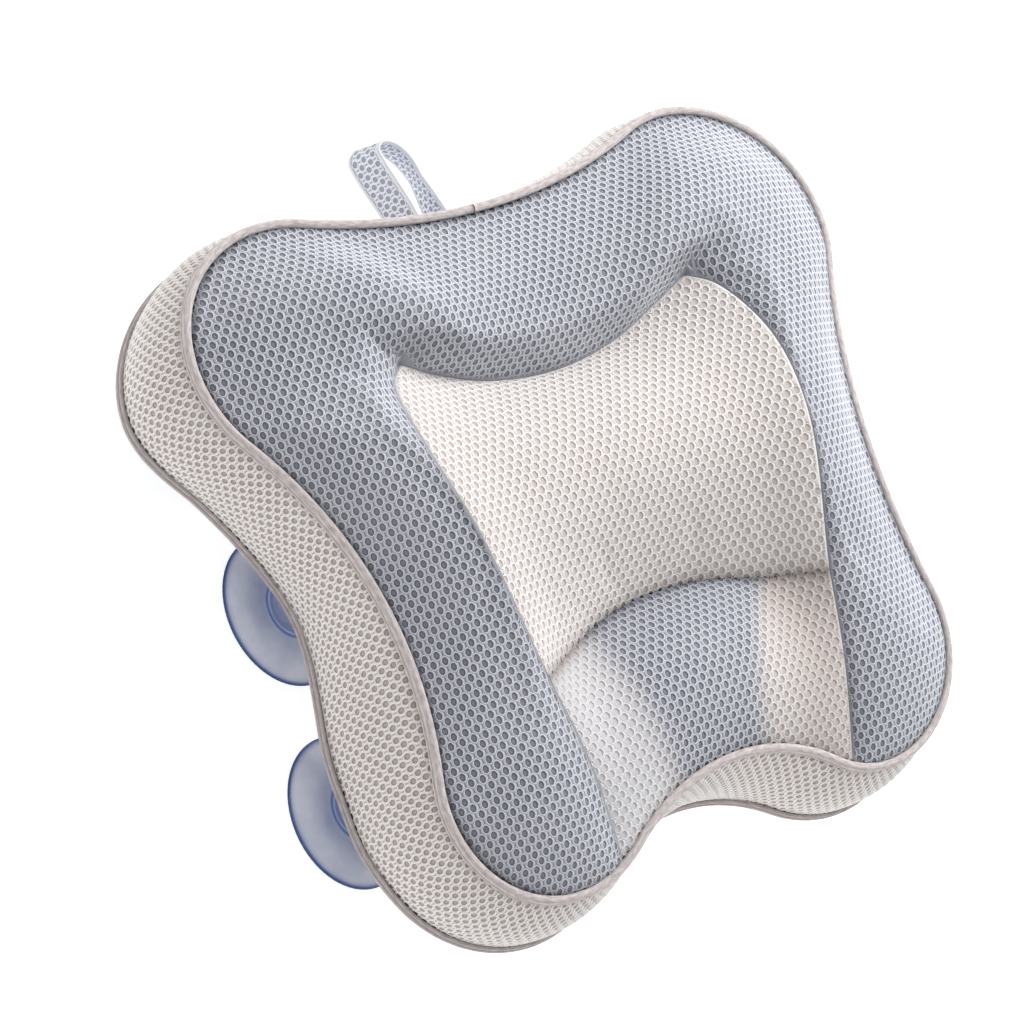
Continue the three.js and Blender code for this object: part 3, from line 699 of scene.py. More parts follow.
# lattice of cells laid on a sheet through its flat map
def netTree():
    tree = bpy.data.node_groups.new("spacer mesh", "GeometryNodeTree")
    sockets = {
        "Sheet": "Geometry", "Cell": "Object", "Pitch": "Float", "Row": "Float",
        "Columns": "Int", "Rows": "Int", "Middle": "Vector", "Finish": "Material",
    }
    for name, kind in sockets.items():
        tree.interface.new_socket(name, in_out="INPUT", socket_type="NodeSocket" + kind)
    tree.interface.new_socket("Net", in_out="OUTPUT", socket_type="NodeSocketGeometry")
    wire, entry = Wire(tree), tree.nodes.new("NodeGroupInput")
    given = {name: Wire(tree, entry.outputs[name]) for name in sockets}

    def vector(operation, values):
        return wire.node("ShaderNodeVectorMath", {"operation": operation}, values)

    def named(name, kind="FLOAT_VECTOR"):
        return wire.node("GeometryNodeInputNamedAttribute", {"data_type": kind}, {"Name": name})

    def stored(geometry, name, value, kind):
        values = {"Geometry": geometry, "Name": name, "Value": value}
        return wire.node("GeometryNodeStoreNamedAttribute", {"data_type": kind, "domain": "POINT"}, values)

    def sampled(value, kind="FLOAT_VECTOR"):
        return wire.node("GeometryNodeSampleUVSurface", {"data_type": kind}, {
            "Mesh": given["Sheet"], "Value": value, "Source UV Map": flatMap, "Sample UV": flatPlace,
        })

    pitch, row, columns, rows = (given[name] for name in ("Pitch", "Row", "Columns", "Rows"))
    join = wire.node("GeometryNodeJoinGeometry")
    for shift in (0.0, 0.5):
        lattice = wire.node("GeometryNodeMeshGrid", None, {
            "Size X": (columns - 1) * pitch, "Size Y": (rows - 1) * row * 2,
            "Vertices X": columns, "Vertices Y": rows,
        })
        step = wire.node("ShaderNodeCombineXYZ", None, {0: pitch * shift, 1: row * (2 * shift)})
        place = vector("ADD", {0: given["Middle"], 1: step})
        spots = wire.node("GeometryNodeTransform", None, {"Geometry": lattice, "Translation": place})
        tree.links.new(spots.socket, join.socket.node.inputs[0])
    shape = wire.node("GeometryNodeObjectInfo", None, {"Object": given["Cell"]}, out="Geometry")
    net = wire.node("GeometryNodeInstanceOnPoints", None, {"Points": join, "Instance": shape})
    net = wire.node("GeometryNodeRealizeInstances", None, {0: net})
    flatPlace, flatMap = wire.node("GeometryNodeInputPosition"), named("flat")
    foot = sampled(wire.node("GeometryNodeInputPosition"))
    lift = vector("SCALE", {0: sampled(named("outward")), "Scale": parts(wire, flatPlace)[2]})
    net = stored(net, "onSheet", Wire(tree, foot.socket.node.outputs["Is Valid"]), "BOOLEAN")
    net = stored(net, "flatPlace", flatPlace, "FLOAT_VECTOR")
    net = stored(net, "fold", sampled(named("fold", "FLOAT"), "FLOAT"), "FLOAT")
    place = vector("ADD", {0: foot, 1: lift})
    net = wire.node("GeometryNodeSetPosition", None, {"Geometry": net, "Position": place})
    off = wire.node("FunctionNodeBooleanMath", {"operation": "NOT"}, {0: named("onSheet", "BOOLEAN")})
    net = wire.node("GeometryNodeDeleteGeometry", {"domain": "FACE"}, {"Geometry": net, "Selection": off})
    net = wire.node("GeometryNodeMergeByDistance", None, {"Geometry": net, "Distance": cell["weld"] * mm})
    net = wire.node("GeometryNodeSetShadeSmooth", None, {"Geometry": net})
    net = wire.node("GeometryNodeSetMaterial", None, {"Geometry": net, "Material": given["Finish"]})
    tree.links.new(net.socket, tree.nodes.new("NodeGroupOutput").inputs[0])
    return tree


netNodes = netTree()


# runs a tree on a carrier, and keeps the result as a plain mesh
def grow(name, carrier, tree, inputs):
    nodes = carrier.modifiers.new("nodes", "NODES")
    nodes.node_group = tree
    ids = {s.name: s.identifier for s in tree.interface.items_tree if s.in_out == "INPUT"}
    for key, value in inputs.items():
        nodes[ids[key]] = value
    carrier.update_tag()
    dg = bpy.context.evaluated_depsgraph_get()
    grown = carrier.evaluated_get(dg)
    mesh = bpy.data.meshes.new_from_object(grown, preserve_all_data_layers=True, depsgraph=dg)
    mesh.name = name
    piece = bpy.data.objects.new(name, mesh)
    scene.collection.objects.link(piece)
    removePiece(carrier)
    return piece


# middle, columns and rows of the lattice that covers a flat panel, with some to spare
def latticeOf(flat):
    low, high = flat.reshape(-1, 2).min(0), flat.reshape(-1, 2).max(0)
    columns, rows = np.ceil((high - low) / np.array([cell["pitch"], 2 * cell["row"]])) + cell["spare"]
    return (low + high) / 2, int(columns), int(rows)


# the same lattice as parts side by side
def cutLattice(lattice, count):
    middle, columns, rows = lattice
    first = middle[0] - (columns - 1) / 2 * cell["pitch"]
    edges = [round(columns * k / count) for k in range(count + 1)]
    places = [first + (a + b - 1) / 2 * cell["pitch"] for a, b in zip(edges, edges[1:])]
    return [(np.array([x, middle[1]]), b - a, rows) for x, a, b in zip(places, edges, edges[1:])]


# place of each point counted in cells
def cellMap(flat, lattice):
    middle, columns, rows = lattice
    first = middle - np.array([(columns - 1) / 2 * cell["pitch"], (rows - 1) * cell["row"]])
    return (flat - first) / np.array([cell["pitch"], 2 * cell["row"]])


def netOn(name, grid, flat, normals, finish, lattice, fold=0.0, faces=None):
    sheet = newPiece(name + "_sheet", toFrame(grid), gridFaces(*grid.shape[:2]) if faces is None else faces)
    outward = sheet.data.attributes.new("outward", "FLOAT_VECTOR", "POINT")
    outward.data.foreach_set("vector", np.asarray(normals, np.float32).ravel())
    setValues(sheet, fold=np.broadcast_to(fold, grid.shape[:-1]))
    setMap(sheet, "flat", flat * mm)
    middle, columns, rows = lattice
    net = grow(name, sheet, netNodes, {
        "Cell": meshCellPiece, "Pitch": cell["pitch"] * mm, "Row": cell["row"] * mm, "Columns": columns,
        "Rows": rows, "Middle": (middle[0] * mm, middle[1] * mm, 0.0), "Finish": finish,
    })
    flatLayer = net.data.attributes["flatPlace"]
    places = np.zeros(len(net.data.vertices) * 3, np.float32)
    flatLayer.data.foreach_get("vector", places)
    net.data.attributes.remove(flatLayer)
    net.data.attributes.remove(net.data.attributes["onSheet"])
    spread = places.reshape(-1, 3)[:, :2]
    spread = (spread - spread.min(0)) / (spread.max(0) - spread.min(0)).max()
    setMap(net, "OFBake", spread)
    print("net", name, len(net.data.polygons), "faces")
    return net


# lining under the net: sunk below the holes, and level with the web in a narrow margin along the seams
lining = {"depth": 0.34, "margin": 1.7, "marginLevel": 0.06, "marginYarn": 0.6, "underYarn": 0.3}


# distance over the grid from its sewn sides, "low", "high" and "ends", or from the cradle's two "tips"
def fromSeams(grid, sewn):
    across, along = runLength(grid, 1), runLength(grid)
    tips = innerSeamAt(np.array([-tipStep, tipStep]))
    ways = {
        "low": across,
        "high": across[:, -1:] - across,
        "ends": np.minimum(along, along[-1:] - along),
        "tips": np.linalg.norm(grid[:, :, None] - tips, axis=-1).min(-1),
    }
    return np.minimum.reduce([np.full(across.shape, np.inf)] + [ways[side] for side in sewn])


def sunkFace(grid, normals, sewn, tipMargin=0):
    share = smooth(1 - fromSeams(grid, sewn) / lining["margin"])
    if tipMargin:
        share = np.maximum(share, smooth(1 - fromSeams(grid, ("tips",)) / tipMargin))
    level = mix(-lining["depth"], lining["marginLevel"], share)
    return grid + normals * level[..., None], lining["marginYarn"] * share


# painted shade in the folds, along the seams and cords and at the cradle's tips: strength and reach for each
# side
def foldShade(grid, folds):
    shade = np.zeros(grid.shape[:2])
    for side, depths in folds.items():
        for strength, reach in depths:
            shade = np.maximum(shade, strength * np.exp(-fromSeams(grid, (side,)) / reach))
    return shade


# carries a net's sheet a little past its low or high side, under a cord or into a crease, with its painted
# shade
def tucked(grid, flat, normals, fold, tuck):
    for edge, inner, reach in ((0, 1, tuck[0]), (-1, -2, tuck[1])):
        if not reach:
            continue
        rows = []
        for part in (grid, flat):
            way = part[:, edge] - part[:, inner]
            rows.append(part[:, edge] + unit(way) * reach)
        rows += [normals[:, edge], fold[:, edge]]
        grid, flat, normals, fold = (
            np.concatenate([row[:, None], part] if edge == 0 else [part, row[:, None]], axis=1)
            for row, part in zip(rows, (grid, flat, normals, fold))
        )
    return grid, flat, normals, fold


# closes a face grid with an under grid of the same form
def closedPiece(name, face, under, yarn, fold, cells=None, closed=False):
    columns, rows = face.shape[:2]
    count = columns * rows
    top = gridFaces(columns, rows, closed)
    faces = [top, top[:, ::-1] + count]
    index = np.arange(count).reshape(columns, rows)
    borders = [index[:, 0], index[::-1, -1]]
    if closed:
        borders = [np.append(border, border[0]) for border in borders]
    else:
        borders += [index[-1, :], index[0, ::-1]]
    for border in borders:
        a, b = border[:-1], border[1:]
        faces.append(np.stack([b, a, a + count, b + count], -1))
    points = np.concatenate([face.reshape(-1, 3), under.reshape(-1, 3)])
    piece = newPiece(name, toFrame(points), np.concatenate(faces))
    yarn = np.concatenate([yarn.ravel(), np.full(count, lining["underYarn"])])
    fold = np.tile(np.broadcast_to(fold, face.shape[:2]).ravel(), 2)
    setValues(piece, yarn=yarn, pin=np.zeros(2 * count), lined=np.ones(2 * count), fold=fold)
    if cells is not None:
        setMap(piece, "cells", np.tile(cells.reshape(-1, 2), (2, 1)))
    faceOut(piece)
    return piece


def dress(piece, body, finish=None, replaced=()):
    if finish:
        piece.data.materials.clear()
        piece.data.materials.append(finish)
    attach(piece, body)
    if replaced:
        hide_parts(*replaced)
    return piece


# how each front panel is gridded and finished at its sides, and where it is painted with shade (folds)
panels = {
    "horseshoe": {
        "rows": 14,
        "slot": "blue_mesh",
        "sewn": ("high", "ends"),
        "tuck": (1.7, 0),
        "tipMargin": 13.0,
        "sides": ("_left", "_right"),
        "folds": {"low": [(0.85, 1.6)], "high": [(0.5, 3.0)], "ends": [(0.4, 3.0)], "tips": [(0.75, 8.0)]},
    },
    "centre": {
        "columns": 37,
        "rows": 26,
        "slot": "white_mesh",
        "sewn": ("high", "ends"),
        "tuck": (1.5, 0),
        "folds": {"low": [(0.7, 3.5)]},
    },
    "neck": {
        "columns": 31,
        "rows": 18,
        "slot": "white_mesh",
        "sewn": ("ends",),
        "tuck": (1.7, 1.5),
        "folds": {"low": [(0.4, 2.0)], "high": [(0.85, 5.0), (0.32, 24.0)]},
    },
}


def paddedPanel(name, surface, across, lowHem, finish):
    panel = panels[name]
    grid = panelGrid(surface, across, panel["rows"], lowHem, padding["seamHem"])
    blown = inflate(name, grid)
    fine, fineFlat, under = (refine(part, padding["finer"]) for part in (blown, flatten(blown), grid))
    normals = normalsOf(fine)
    if normals[..., 2].mean() < 0:
        normals = -normals
    face, yarn = sunkFace(fine, normals, panel["sewn"], panel.get("tipMargin", 0))
    fold = foldShade(fine, panel["folds"])
    lattice = latticeOf(fineFlat)
    cells = cellMap(fineFlat, lattice)
    under[..., 2] = padding["chamberFloor"]
    net = tucked(fine, fineFlat, normals, fold, panel["tuck"])
    if np.cross(fine[1, 0] - fine[0, 0], fine[0, 1] - fine[0, 0])[2] < 0:
        face, yarn, under, fold, cells = (part[:, ::-1] for part in (face, yarn, under, fold, cells))
        net = [part[:, ::-1] for part in net]
    pad = closedPiece(name + "_pad", face, under, yarn, fold, cells)
    dress(pad, "pillow", finish, [name + "_panel", name + "_fill"])
    grid, flat, normals, fold = net
    sides = panel.get("sides", ("",))
    for side, part in zip(sides, cutLattice(lattice, len(sides))):
        dress(netOn(name + "_mesh" + side, grid, flat, normals, finish, part, fold), "pillow")


def buildFront():
    stop, trim, steps = padding["pointStop"], padding["sideTrim"], 2 * seamEndStep
    band = np.linspace(stop, steps - stop, 3 * steps + 1) / steps
    paddedPanel("horseshoe", horseshoe, band, padding["cordHem"], blueMesh)
    across = np.linspace(trim, 1 - trim, panels["centre"]["columns"])
    paddedPanel("centre", centre, across, padding["seamHem"], whiteMesh)
    across = np.linspace(trim, 1 - trim, panels["neck"]["columns"])
    paddedPanel("neck", neck, across, padding["cordHem"], neckMesh)


buildFront()
print("padded front done")


# side wall: one strip round the pillow, its mesh in a left and a right half
def buildWall():
    steps = np.linspace(-halfSteps, halfSteps, wall["columns"], endpoint=False)
    blown = inflate("wall", wallGrid(steps, wall["rows"]), closed=True)
    fine = refine(blown, wall["finer"], closed=True)
    normals = normalsOf(fine, closed=True)
    middle = fine[:, fine.shape[1] // 2]
    if (normals[:, fine.shape[1] // 2] * (middle - middle.mean(0))).sum(-1).mean() < 0:
        normals = -normals
    face, yarn = sunkFace(fine, normals, ())
    under = face - normals * wall["thickness"]
    fold = foldShade(fine, wall["folds"])
    along = runLength(np.concatenate([middle, middle[:1]]))
    columns = 2 * round(along[-1] / cell["pitch"] / 2)
    along *= columns * cell["pitch"] / along[-1]
    down = runLength(fine, 1)
    down -= down[:, -1:] / 2
    flat = np.stack([along[:-1, None] + 0 * down, down], -1)
    lattice = (np.array([(columns - 1) / 2 * cell["pitch"], 0]), columns, latticeOf(flat)[2])
    layers = [part[::-1] for part in (face, under, yarn, fold, cellMap(flat, lattice))]
    strip = closedPiece("pillow_wall", *layers, closed=True)
    dress(strip, "pillow", wallMesh, ["side_wall"])
    picked = np.arange(-wall["overlap"], len(middle) + wall["overlap"] + 1)
    around = picked % len(middle)
    flat = flat[around] + np.stack([picked // len(middle) * along[-1], 0 * picked], -1)[:, None]
    net = tucked(fine[around], flat, normals[around], fold[around], wall["tuck"])
    grid, flat, out, fold = (part[::-1] for part in net)
    for side, part in zip(("left", "right"), cutLattice(lattice, 2)):
        dress(netOn("wall_mesh_" + side, grid, flat, out, wallMesh, part, fold), "pillow")


buildWall()
print("side wall done")

# fabric tape round a cord, with the ridge of its own seam; the groove beside the ridge and the whole back
# cord are painted darker as shade
piping = {
    "radius": 2.8,
    "joint": 0.014,
    "frontJoint": -0.5,
    "columns": 560,
    "sides": 36,
    "cord": 2.15,
    "ridge": 1.05,
    "frontRidge": -42,
    "backRidge": 58,
    "backDim": 0.3,
    "ridgeTurn": 118,
    "grooveStart": 2.5,
    "grooveReach": 0.4,
    "grooveShade": 0.7,
    "grooveTone": paint(110, 99, 98),
    "light": paint(225, 217, 216),
    "dark": paint(174, 164, 162),
    "melange": {"scale": (240, 900, 1), "detail": 4.0, "span": (0.3, 0.7), "share": 0.7, "start": 0.15},
    "weave": {"scale": (1700, 1700, 1), "detail": 2.0, "share": 0.6},
    "bump": {"Strength": 0.5, "Distance": 0.0003},
    "shader": {"Roughness": 0.9, "Specular IOR Level": 0.2},
}


def pipingTape():
    material, wire, shader = newMaterial("piping tape")
    tape = wire.node("ShaderNodeUVMap", {"uv_map": "tape"})

    def grain(look):
        place = wire.node("ShaderNodeMapping", None, {"Vector": tape, "Scale": look["scale"]})
        return noiseOf(wire, place, 1.0, look["detail"])

    melange, weave = piping["melange"], grain(piping["weave"])
    light = grain(melange).between(*melange["span"]) * melange["share"]
    light = light + (weave - 0.5) * piping["weave"]["share"] + melange["start"]
    colour = light.between(0.0, 1.0, False).blend(piping["dark"], piping["light"])
    # painted shade in the groove between the cord and its seam ridge, and over the whole back cord
    colour = (attribute(wire, "groove") * piping["grooveShade"]).blend(colour, piping["grooveTone"])
    bump = wire.node("ShaderNodeBump", None, {**piping["bump"], "Height": weave})
    setInputs(shader, {"Base Color": colour, "Normal": bump, **piping["shader"]})
    return material


# radius, by angle, of a round of the given size that touches the piping's rim
def roundShare(angle, place, size):
    reach = piping["radius"] - size
    off = angle - math.radians(place)
    inside = size ** 2 - (reach * np.sin(off)) ** 2
    middle = reach * np.cos(off)
    return np.where((inside > 0) & (middle > -size), middle + np.sqrt(np.maximum(inside, 0)), 0)


def pipingTube(name, line, out, ridge, turn, cordShade, node, finish):
    tangent = unit(np.gradient(line, axis=0))
    side = unit(out - tangent * (out * tangent).sum(-1, keepdims=True))
    up = np.cross(side, tangent)
    up *= np.sign(up[:, 2].mean())
    angle = math.radians(ridge - turn) + np.linspace(0, 2 * math.pi, piping["sides"], endpoint=False)
    cordShare = roundShare(angle, ridge + turn, piping["cord"])
    radius = np.maximum(cordShare, roundShare(angle, ridge, piping["ridge"]))
    # painted shade: full in the groove between the cord and the ridge, and at least cordShade all round
    groove = np.maximum(np.clip((piping["grooveStart"] - radius) / piping["grooveReach"], 0, 1), cordShade)
    ring = side[None] * np.cos(angle)[:, None, None] + up[None] * np.sin(angle)[:, None, None]
    tube = line[None] + ring * radius[:, None, None]
    rows, columns = tube.shape[:2]
    caps = [np.arange(rows) * columns, np.arange(rows)[::-1] * columns + columns - 1]
    piece = newPiece(name, toFrame(tube), list(gridFaces(rows, columns, True)) + caps)
    faceOut(piece)
    along = runLength(line)
    flat = np.stack(np.broadcast_arrays(along[None, :], (angle * piping["radius"])[:, None]), -1)
    setMap(piece, "tape", flat * mm)
    setValues(piece, groove=np.broadcast_to(groove[:, None], (rows, columns)))
    print("cord", name, round(along[-1]), "mm long")
    return dress(piece, "pillow", finish, [node])


def backSeamAt(step, inset=0.0):
    p, out = outlineAt(step)
    reach = (flareAt(p[..., 1]) - inset)[..., None]
    return np.concatenate([p[..., :2] + out * reach - np.array([0, wall["drop"]]), 0 * p[..., :1]], -1)


def buildPiping():
    finish = pipingTape()
    step = np.linspace(piping["joint"], 2 * halfSteps - piping["joint"], piping["columns"])

    def around(shift):
        turned = step + shift
        turned = np.where(turned > halfSteps, turned - 2 * halfSteps, turned)
        p, out = outlineAt(turned)
        return p, np.concatenate([out, 0 * out[:, :1]], -1), turned

    p, out, _ = around(piping["frontJoint"])
    pipingTube("front_cord", p, out, piping["frontRidge"], piping["ridgeTurn"], 0, "front_piping", finish)
    _, out, turned = around(0)
    line = backSeamAt(turned)
    ridge, turn = piping["backRidge"], -piping["ridgeTurn"]
    pipingTube("back_cord", line, out, ridge, turn, piping["backDim"], "back_piping", finish)


buildPiping()
print("piping done")

# hanging loop: path in (x, share of its length), the tape standing on edge
loop = {
    "length": 49.5,
    "rise": [(-4, 0), (-8, 0.4), (-12, 0.76), (-12.5, 0.92), (-7, 1)],
    "fall": [(1, 0.94), (7.5, 0.76), (11, 0.42), (13, 0)],
    "tape": 24,
    "twist": [(0, 0), (0.12, 6), (0.4, 8), (0.55, 12), (0.75, 20), (0.92, 8), (1, 0)],
    "drop": 4,
    "thickness": 1.8,
    "floor": 0.3,
    "netLevel": 0.55,
    "netHeight": 0.5,
    "hem": 2.6,
    "hemSlope": 0.8,
    "hemYarn": 0.6,
    "edgeThin": 0.6,
    "tuck": 0.05,
    "columns": 90,
    "rows": 24,
    "trim": 2,
}


def buildLoop():
    finish = airMesh("loop air mesh", "loop")
    base = backSeamAt(np.zeros(1))[0, 1] + piping["radius"] - loop["tuck"]
    reach = loop["length"] - loop["thickness"] / 2
    line = seamCurve([(x, base + share * reach, 0) for x, share in loop["rise"] + loop["fall"]])
    path = line(np.linspace(0, 1, loop["columns"]))
    along = runLength(path)
    way = unit(np.gradient(path, axis=0))
    left = np.stack([-way[:, 1], way[:, 0], 0 * way[:, 0]], -1)
    across = np.linspace(-loop["tape"] / 2, loop["tape"] / 2, loop["rows"] + 1)
    upright = np.array([0, 0, 1])
    turn = np.radians(np.interp(along / along[-1], *np.transpose(loop["twist"])))[:, None]
    width = upright * np.cos(turn) - left * np.sin(turn)
    grid = (path - upright * loop["drop"])[:, None] + width[:, None] * across[None, :, None]
    normals = np.broadcast_to((left * np.cos(turn) + upright * np.sin(turn))[:, None], grid.shape)
    edge = np.clip((np.abs(across) - loop["tape"] / 2 + loop["hem"]) / loop["hemSlope"], 0, 1)
    half = mix(loop["floor"], loop["thickness"] / 2, edge)
    half[[0, -1]] *= loop["edgeThin"]
    thick = normals * half[None, :, None]
    yarn = np.broadcast_to(edge * loop["hemYarn"], grid.shape[:2])
    tape = closedPiece("loop_tape", grid + thick, grid - thick, yarn, 0.0)
    tape.data.attributes["yarn"].data.foreach_set("value", np.tile(yarn.ravel(), 2).astype(np.float32))
    dress(tape, "pillow", finish, ["hanging_loop"])
    inside = slice(loop["trim"], -loop["trim"])
    for name, sign in (("loop_mesh_outer", 1), ("loop_mesh_inner", -1)):
        flat = np.stack(np.broadcast_arrays(sign * -along[:, None], across[None, :]), -1)[:, inside]
        out = sign * normals[:, inside]
        face = grid[:, inside] + out * loop["netLevel"]
        net = netOn(name, face, flat, out * loop["netHeight"], finish, latticeOf(flat))
        dress(net, "pillow")
    print("loop tape", round(along[-1]), "mm long")


buildLoop()
print("hanging loop done")

# suction cups, in millimetres along and round each axis; runs of the profile are (radius, height, edge tint),
# counted from a named radius and height
cup = {
    "radius": 36,
    "height": 13,
    "rimWidth": 2.4,
    "edge": 1.4,
    "hollow": 3.5,
    "boss": 12,
    "flange": 14.5,
    "flangeRise": 5.8,
    "neck": 3.6,
    "head": 7.5,
    "bossTop": -7.33,
    "headFoot": 6.77,
    "lip": [(-1.9, -0.1, 0.5), (-0.6, 0, 0.9), (0, 0.5, 1), (0, 1, 1), (-0.5, 1.6, 1), (-1.4, 1.65, 0.6)],
    "dome": (0.09, 0.97, -0.8),
    "domeTint": [(0.1, 0.3), (0.11, 0.05)],
    "collar": [(0, -0.5, 0.9), (-0.2, 0, 1), (-0.7, 0.2, 0.6)],
    "bossFoot": [(1, 0.1, 0.1), (0.4, -0.3, 0.9), (0, 0.5, 0.5), (0, 1.5, 0.15)],
    "bossRings": [
        (0, -0.6, 0.3), (-0.6, 0, 0.7), (-1.8, 0, 0.3), (-2.2, -0.7, 0.9), (-3.2, -0.7, 0.4), (-3.6, 0, 0.6),
    ],
    "neckFoot": [(0.6, 0, 0.2), (0, 0.6, 0.2)],
    "neckTop": [(0, -0.4, 0.2), (0.4, 0, 0.2)],
    "button": [(-0.4, 0, 0.4), (0, 0.4, 0.5), (-1.5, 3.25, 0.3), (-4.5, 4.6, 0.1), (-7.5, 5, 0.1)],
    "steps": 14,
    "segments": 80,
    "vinyl": paint(228, 231, 238),
    "vinylDeep": paint(168, 175, 197),
    "vinylBoss": paint(200, 210, 240),
    "vinylEdge": paint(62, 90, 152),
    # the vinyl's tone by radius: painted shade towards the middle, where the pillow covers the cup, with
    # cloudy and streaky milkiness of the vinyl's own
    "haze": {"span": (0.36, 0.85), "share": 0.55, "cloud": 1.3, "streak": 0.35, "start": 0.2},
    "cloudScale": 42,
    "streakScale": 210,
    "streakDetail": 3.0,
    "roughness": (0.2, 0.1),
    "hollowTint": 0.1,
    "bossSpan": (0.42, 0.39),
    "shader": {"Transmission Weight": 0.6, "IOR": 1.35},
}

# eyelets and their washers, in millimetres
eyelet = {
    "bore": 5.29,
    "bush": 6.89,
    "flange": 9.59,
    "plate": 1.2,
    "half": 4.15,
    "gap": 0.45,
    "bevel": 0.35,
    "segments": 48,
    "plastic": paint(213, 213, 216),
    "cloudScale": 300,
    "roughness": (0.12, 0.32),
}


# a profile of (radius, height) turned about an axis: a ring, or a body whose ends lie on the axis
def lathe(name, profile, place, axis, segments, ring=False):
    profile = np.array(profile, float)
    axis = Vector(axis).normalized()
    first = Vector((0, 1, 0)).cross(axis).normalized()
    turn = np.linspace(0, 2 * math.pi, segments, endpoint=False)
    spoke = np.outer(np.cos(turn), first) + np.outer(np.sin(turn), axis.cross(first))
    body = profile if ring else profile[1:-1]
    points = spoke[:, None] * body[None, :, :1] + np.array(axis) * body[None, :, 1:2]
    points = points.reshape(-1, 3)
    rows, count = len(body), len(points)
    faces = gridFaces(segments, rows, True, ring).tolist()
    if not ring:
        points = np.concatenate([points, np.outer(profile[[0, -1], 1], axis)])
        foot = np.arange(0, count, rows)
        for a, b in zip(foot, np.roll(foot, -1)):
            faces += [[a, count, b], [a + rows - 1, b + rows - 1, count + 1]]
    piece = newPiece(name, points * mm + np.array(place), faces)
    faceOut(piece)
    if profile.shape[1] > 2:
        edge = np.append(np.tile(body[:, 2], segments), profile[[0, -1], 2])
        radial = np.append(np.tile(body[:, 0] / cup["radius"], segments), [0, 0])
        setValues(piece, edge=edge, radial=radial)
    return piece


def cupProfile():
    top, head, outer, boss, neck = (cup[key] for key in ("bossTop", "headFoot", "radius", "boss", "neck"))
    rim = top - cup["height"]
    foot = rim + cup["flangeRise"]

    def run(key, radius, height):
        return [(radius + across, height + up, edge) for across, up, edge in cup[key]]

    points = []
    for t in np.linspace(0, 1, cup["steps"]):
        a = t * math.pi / 2
        across = (outer - cup["rimWidth"]) * math.sin(a)
        points.append((across, rim + cup["hollow"] * math.cos(a), cup["hollowTint"] * t))
    points += run("lip", outer, rim)
    start, stop, drop = cup["dome"]
    for t in np.linspace(start, stop, cup["steps"]):
        level = mix(rim + cup["edge"], foot + drop, math.sin(t * math.pi / 2))
        tint = np.interp(t, *np.transpose(cup["domeTint"]))
        points.append((mix(outer, cup["flange"], t), level, tint))
    points += run("collar", cup["flange"], foot) + run("bossFoot", boss, foot) + run("bossRings", boss, top)
    points += run("neckFoot", neck, top) + run("neckTop", neck, head) + run("button", cup["head"], head)
    return points


def beveledRing(corners):
    corners = np.array(corners, float)
    points = []
    for before, at, after in zip(np.roll(corners, 1, 0), corners, np.roll(corners, -1, 0)):
        for other in (before, after):
            way = other - at
            points.append(at + way / np.linalg.norm(way) * eyelet["bevel"])
    return points


def softVinyl():
    material, wire, shader = newMaterial("soft vinyl")
    place, haze = wire.node("ShaderNodeTexCoord", out="Object"), cup["haze"]
    edge, radial = attribute(wire, "edge"), attribute(wire, "radial")
    cloud = noiseOf(wire, place, cup["cloudScale"])
    streak = noiseOf(wire, place, cup["streakScale"], cup["streakDetail"])
    spread, start = cup["roughness"]
    # the vinyl is painted darker towards its middle as shade under the pillow; the cloud and streak noise are
    # its own milkiness
    milkAndShade = radial.between(*haze["span"]) * haze["share"] + (cloud - 0.5) * haze["cloud"]
    milkAndShade = milkAndShade + (streak - 0.5) * haze["streak"] + haze["start"]
    colour = milkAndShade.between(0.0, 1.0, False).blend(cup["vinylDeep"], cup["vinyl"])
    colour = radial.between(*cup["bossSpan"]).blend(colour, cup["vinylBoss"])
    colour = edge.blend(colour, cup["vinylEdge"])
    setInputs(shader, {"Base Color": colour, "Roughness": streak * spread + start, **cup["shader"]})
    return material


def eyeletPlastic():
    material, wire, shader = newMaterial("eyelet plastic")
    cloud = noiseOf(wire, wire.node("ShaderNodeTexCoord", out="Object"), eyelet["cloudScale"])
    spread, start = eyelet["roughness"]
    setInputs(shader, {"Base Color": eyelet["plastic"], "Roughness": cloud * spread + start})
    return material


cupSeats = []


def buildCups():
    vinyl, plastic = softVinyl(), eyeletPlastic()
    bore, bush, flange, half, plate = (eyelet[key] for key in ("bore", "bush", "flange", "half", "plate"))
    low, high, inner = plate - half, half - plate, bush + eyelet["gap"]
    rings = {
        "bush": [(bore, -half), (flange, -half), (flange, low), (bush, low), (bush, half), (bore, half)],
        "washer": [(inner, high), (flange, high), (flange, half), (inner, half)],
    }
    nodes = {"bush": "eyelet_%d", "washer": "eyelet_washer_%d"}
    for number, joint in enumerate(frame["joints"], 1):
        place = joint["pos_m"]
        cupSeats.append((np.array(place) - pillowOrigin) / mm)
        axis = Vector(joint["axis"])
        axis *= 1 if axis.z > 0 else -1
        body = joint["name"].replace("_spin", "")
        piece = lathe("cup_%d" % number, cupProfile(), place, axis, cup["segments"])
        dress(piece, body, vinyl, ["suction_cup_%d" % number])
        for name, corners in rings.items():
            ring = beveledRing(corners)
            piece = lathe("%s_%d" % (name, number), ring, place, (0, 0, 1), eyelet["segments"], ring=True)
            dress(piece, "pillow", plastic, [nodes[name] % number])


buildCups()
print("cups and eyelets done")

# back panel: a slightly domed sheet with a hole at each eyelet
backSheet = {
    "thickness": 3.2,
    "crown": 4,
    "crownPower": 4,
    "hem": 3.0,
    "columns": 280,
    "rings": 44,
    "rimSharpness": 60,
    "hole": 7.4,
    "holeSides": 40,
    "punch": (-20, 10),
    "fill": 0.3,
}


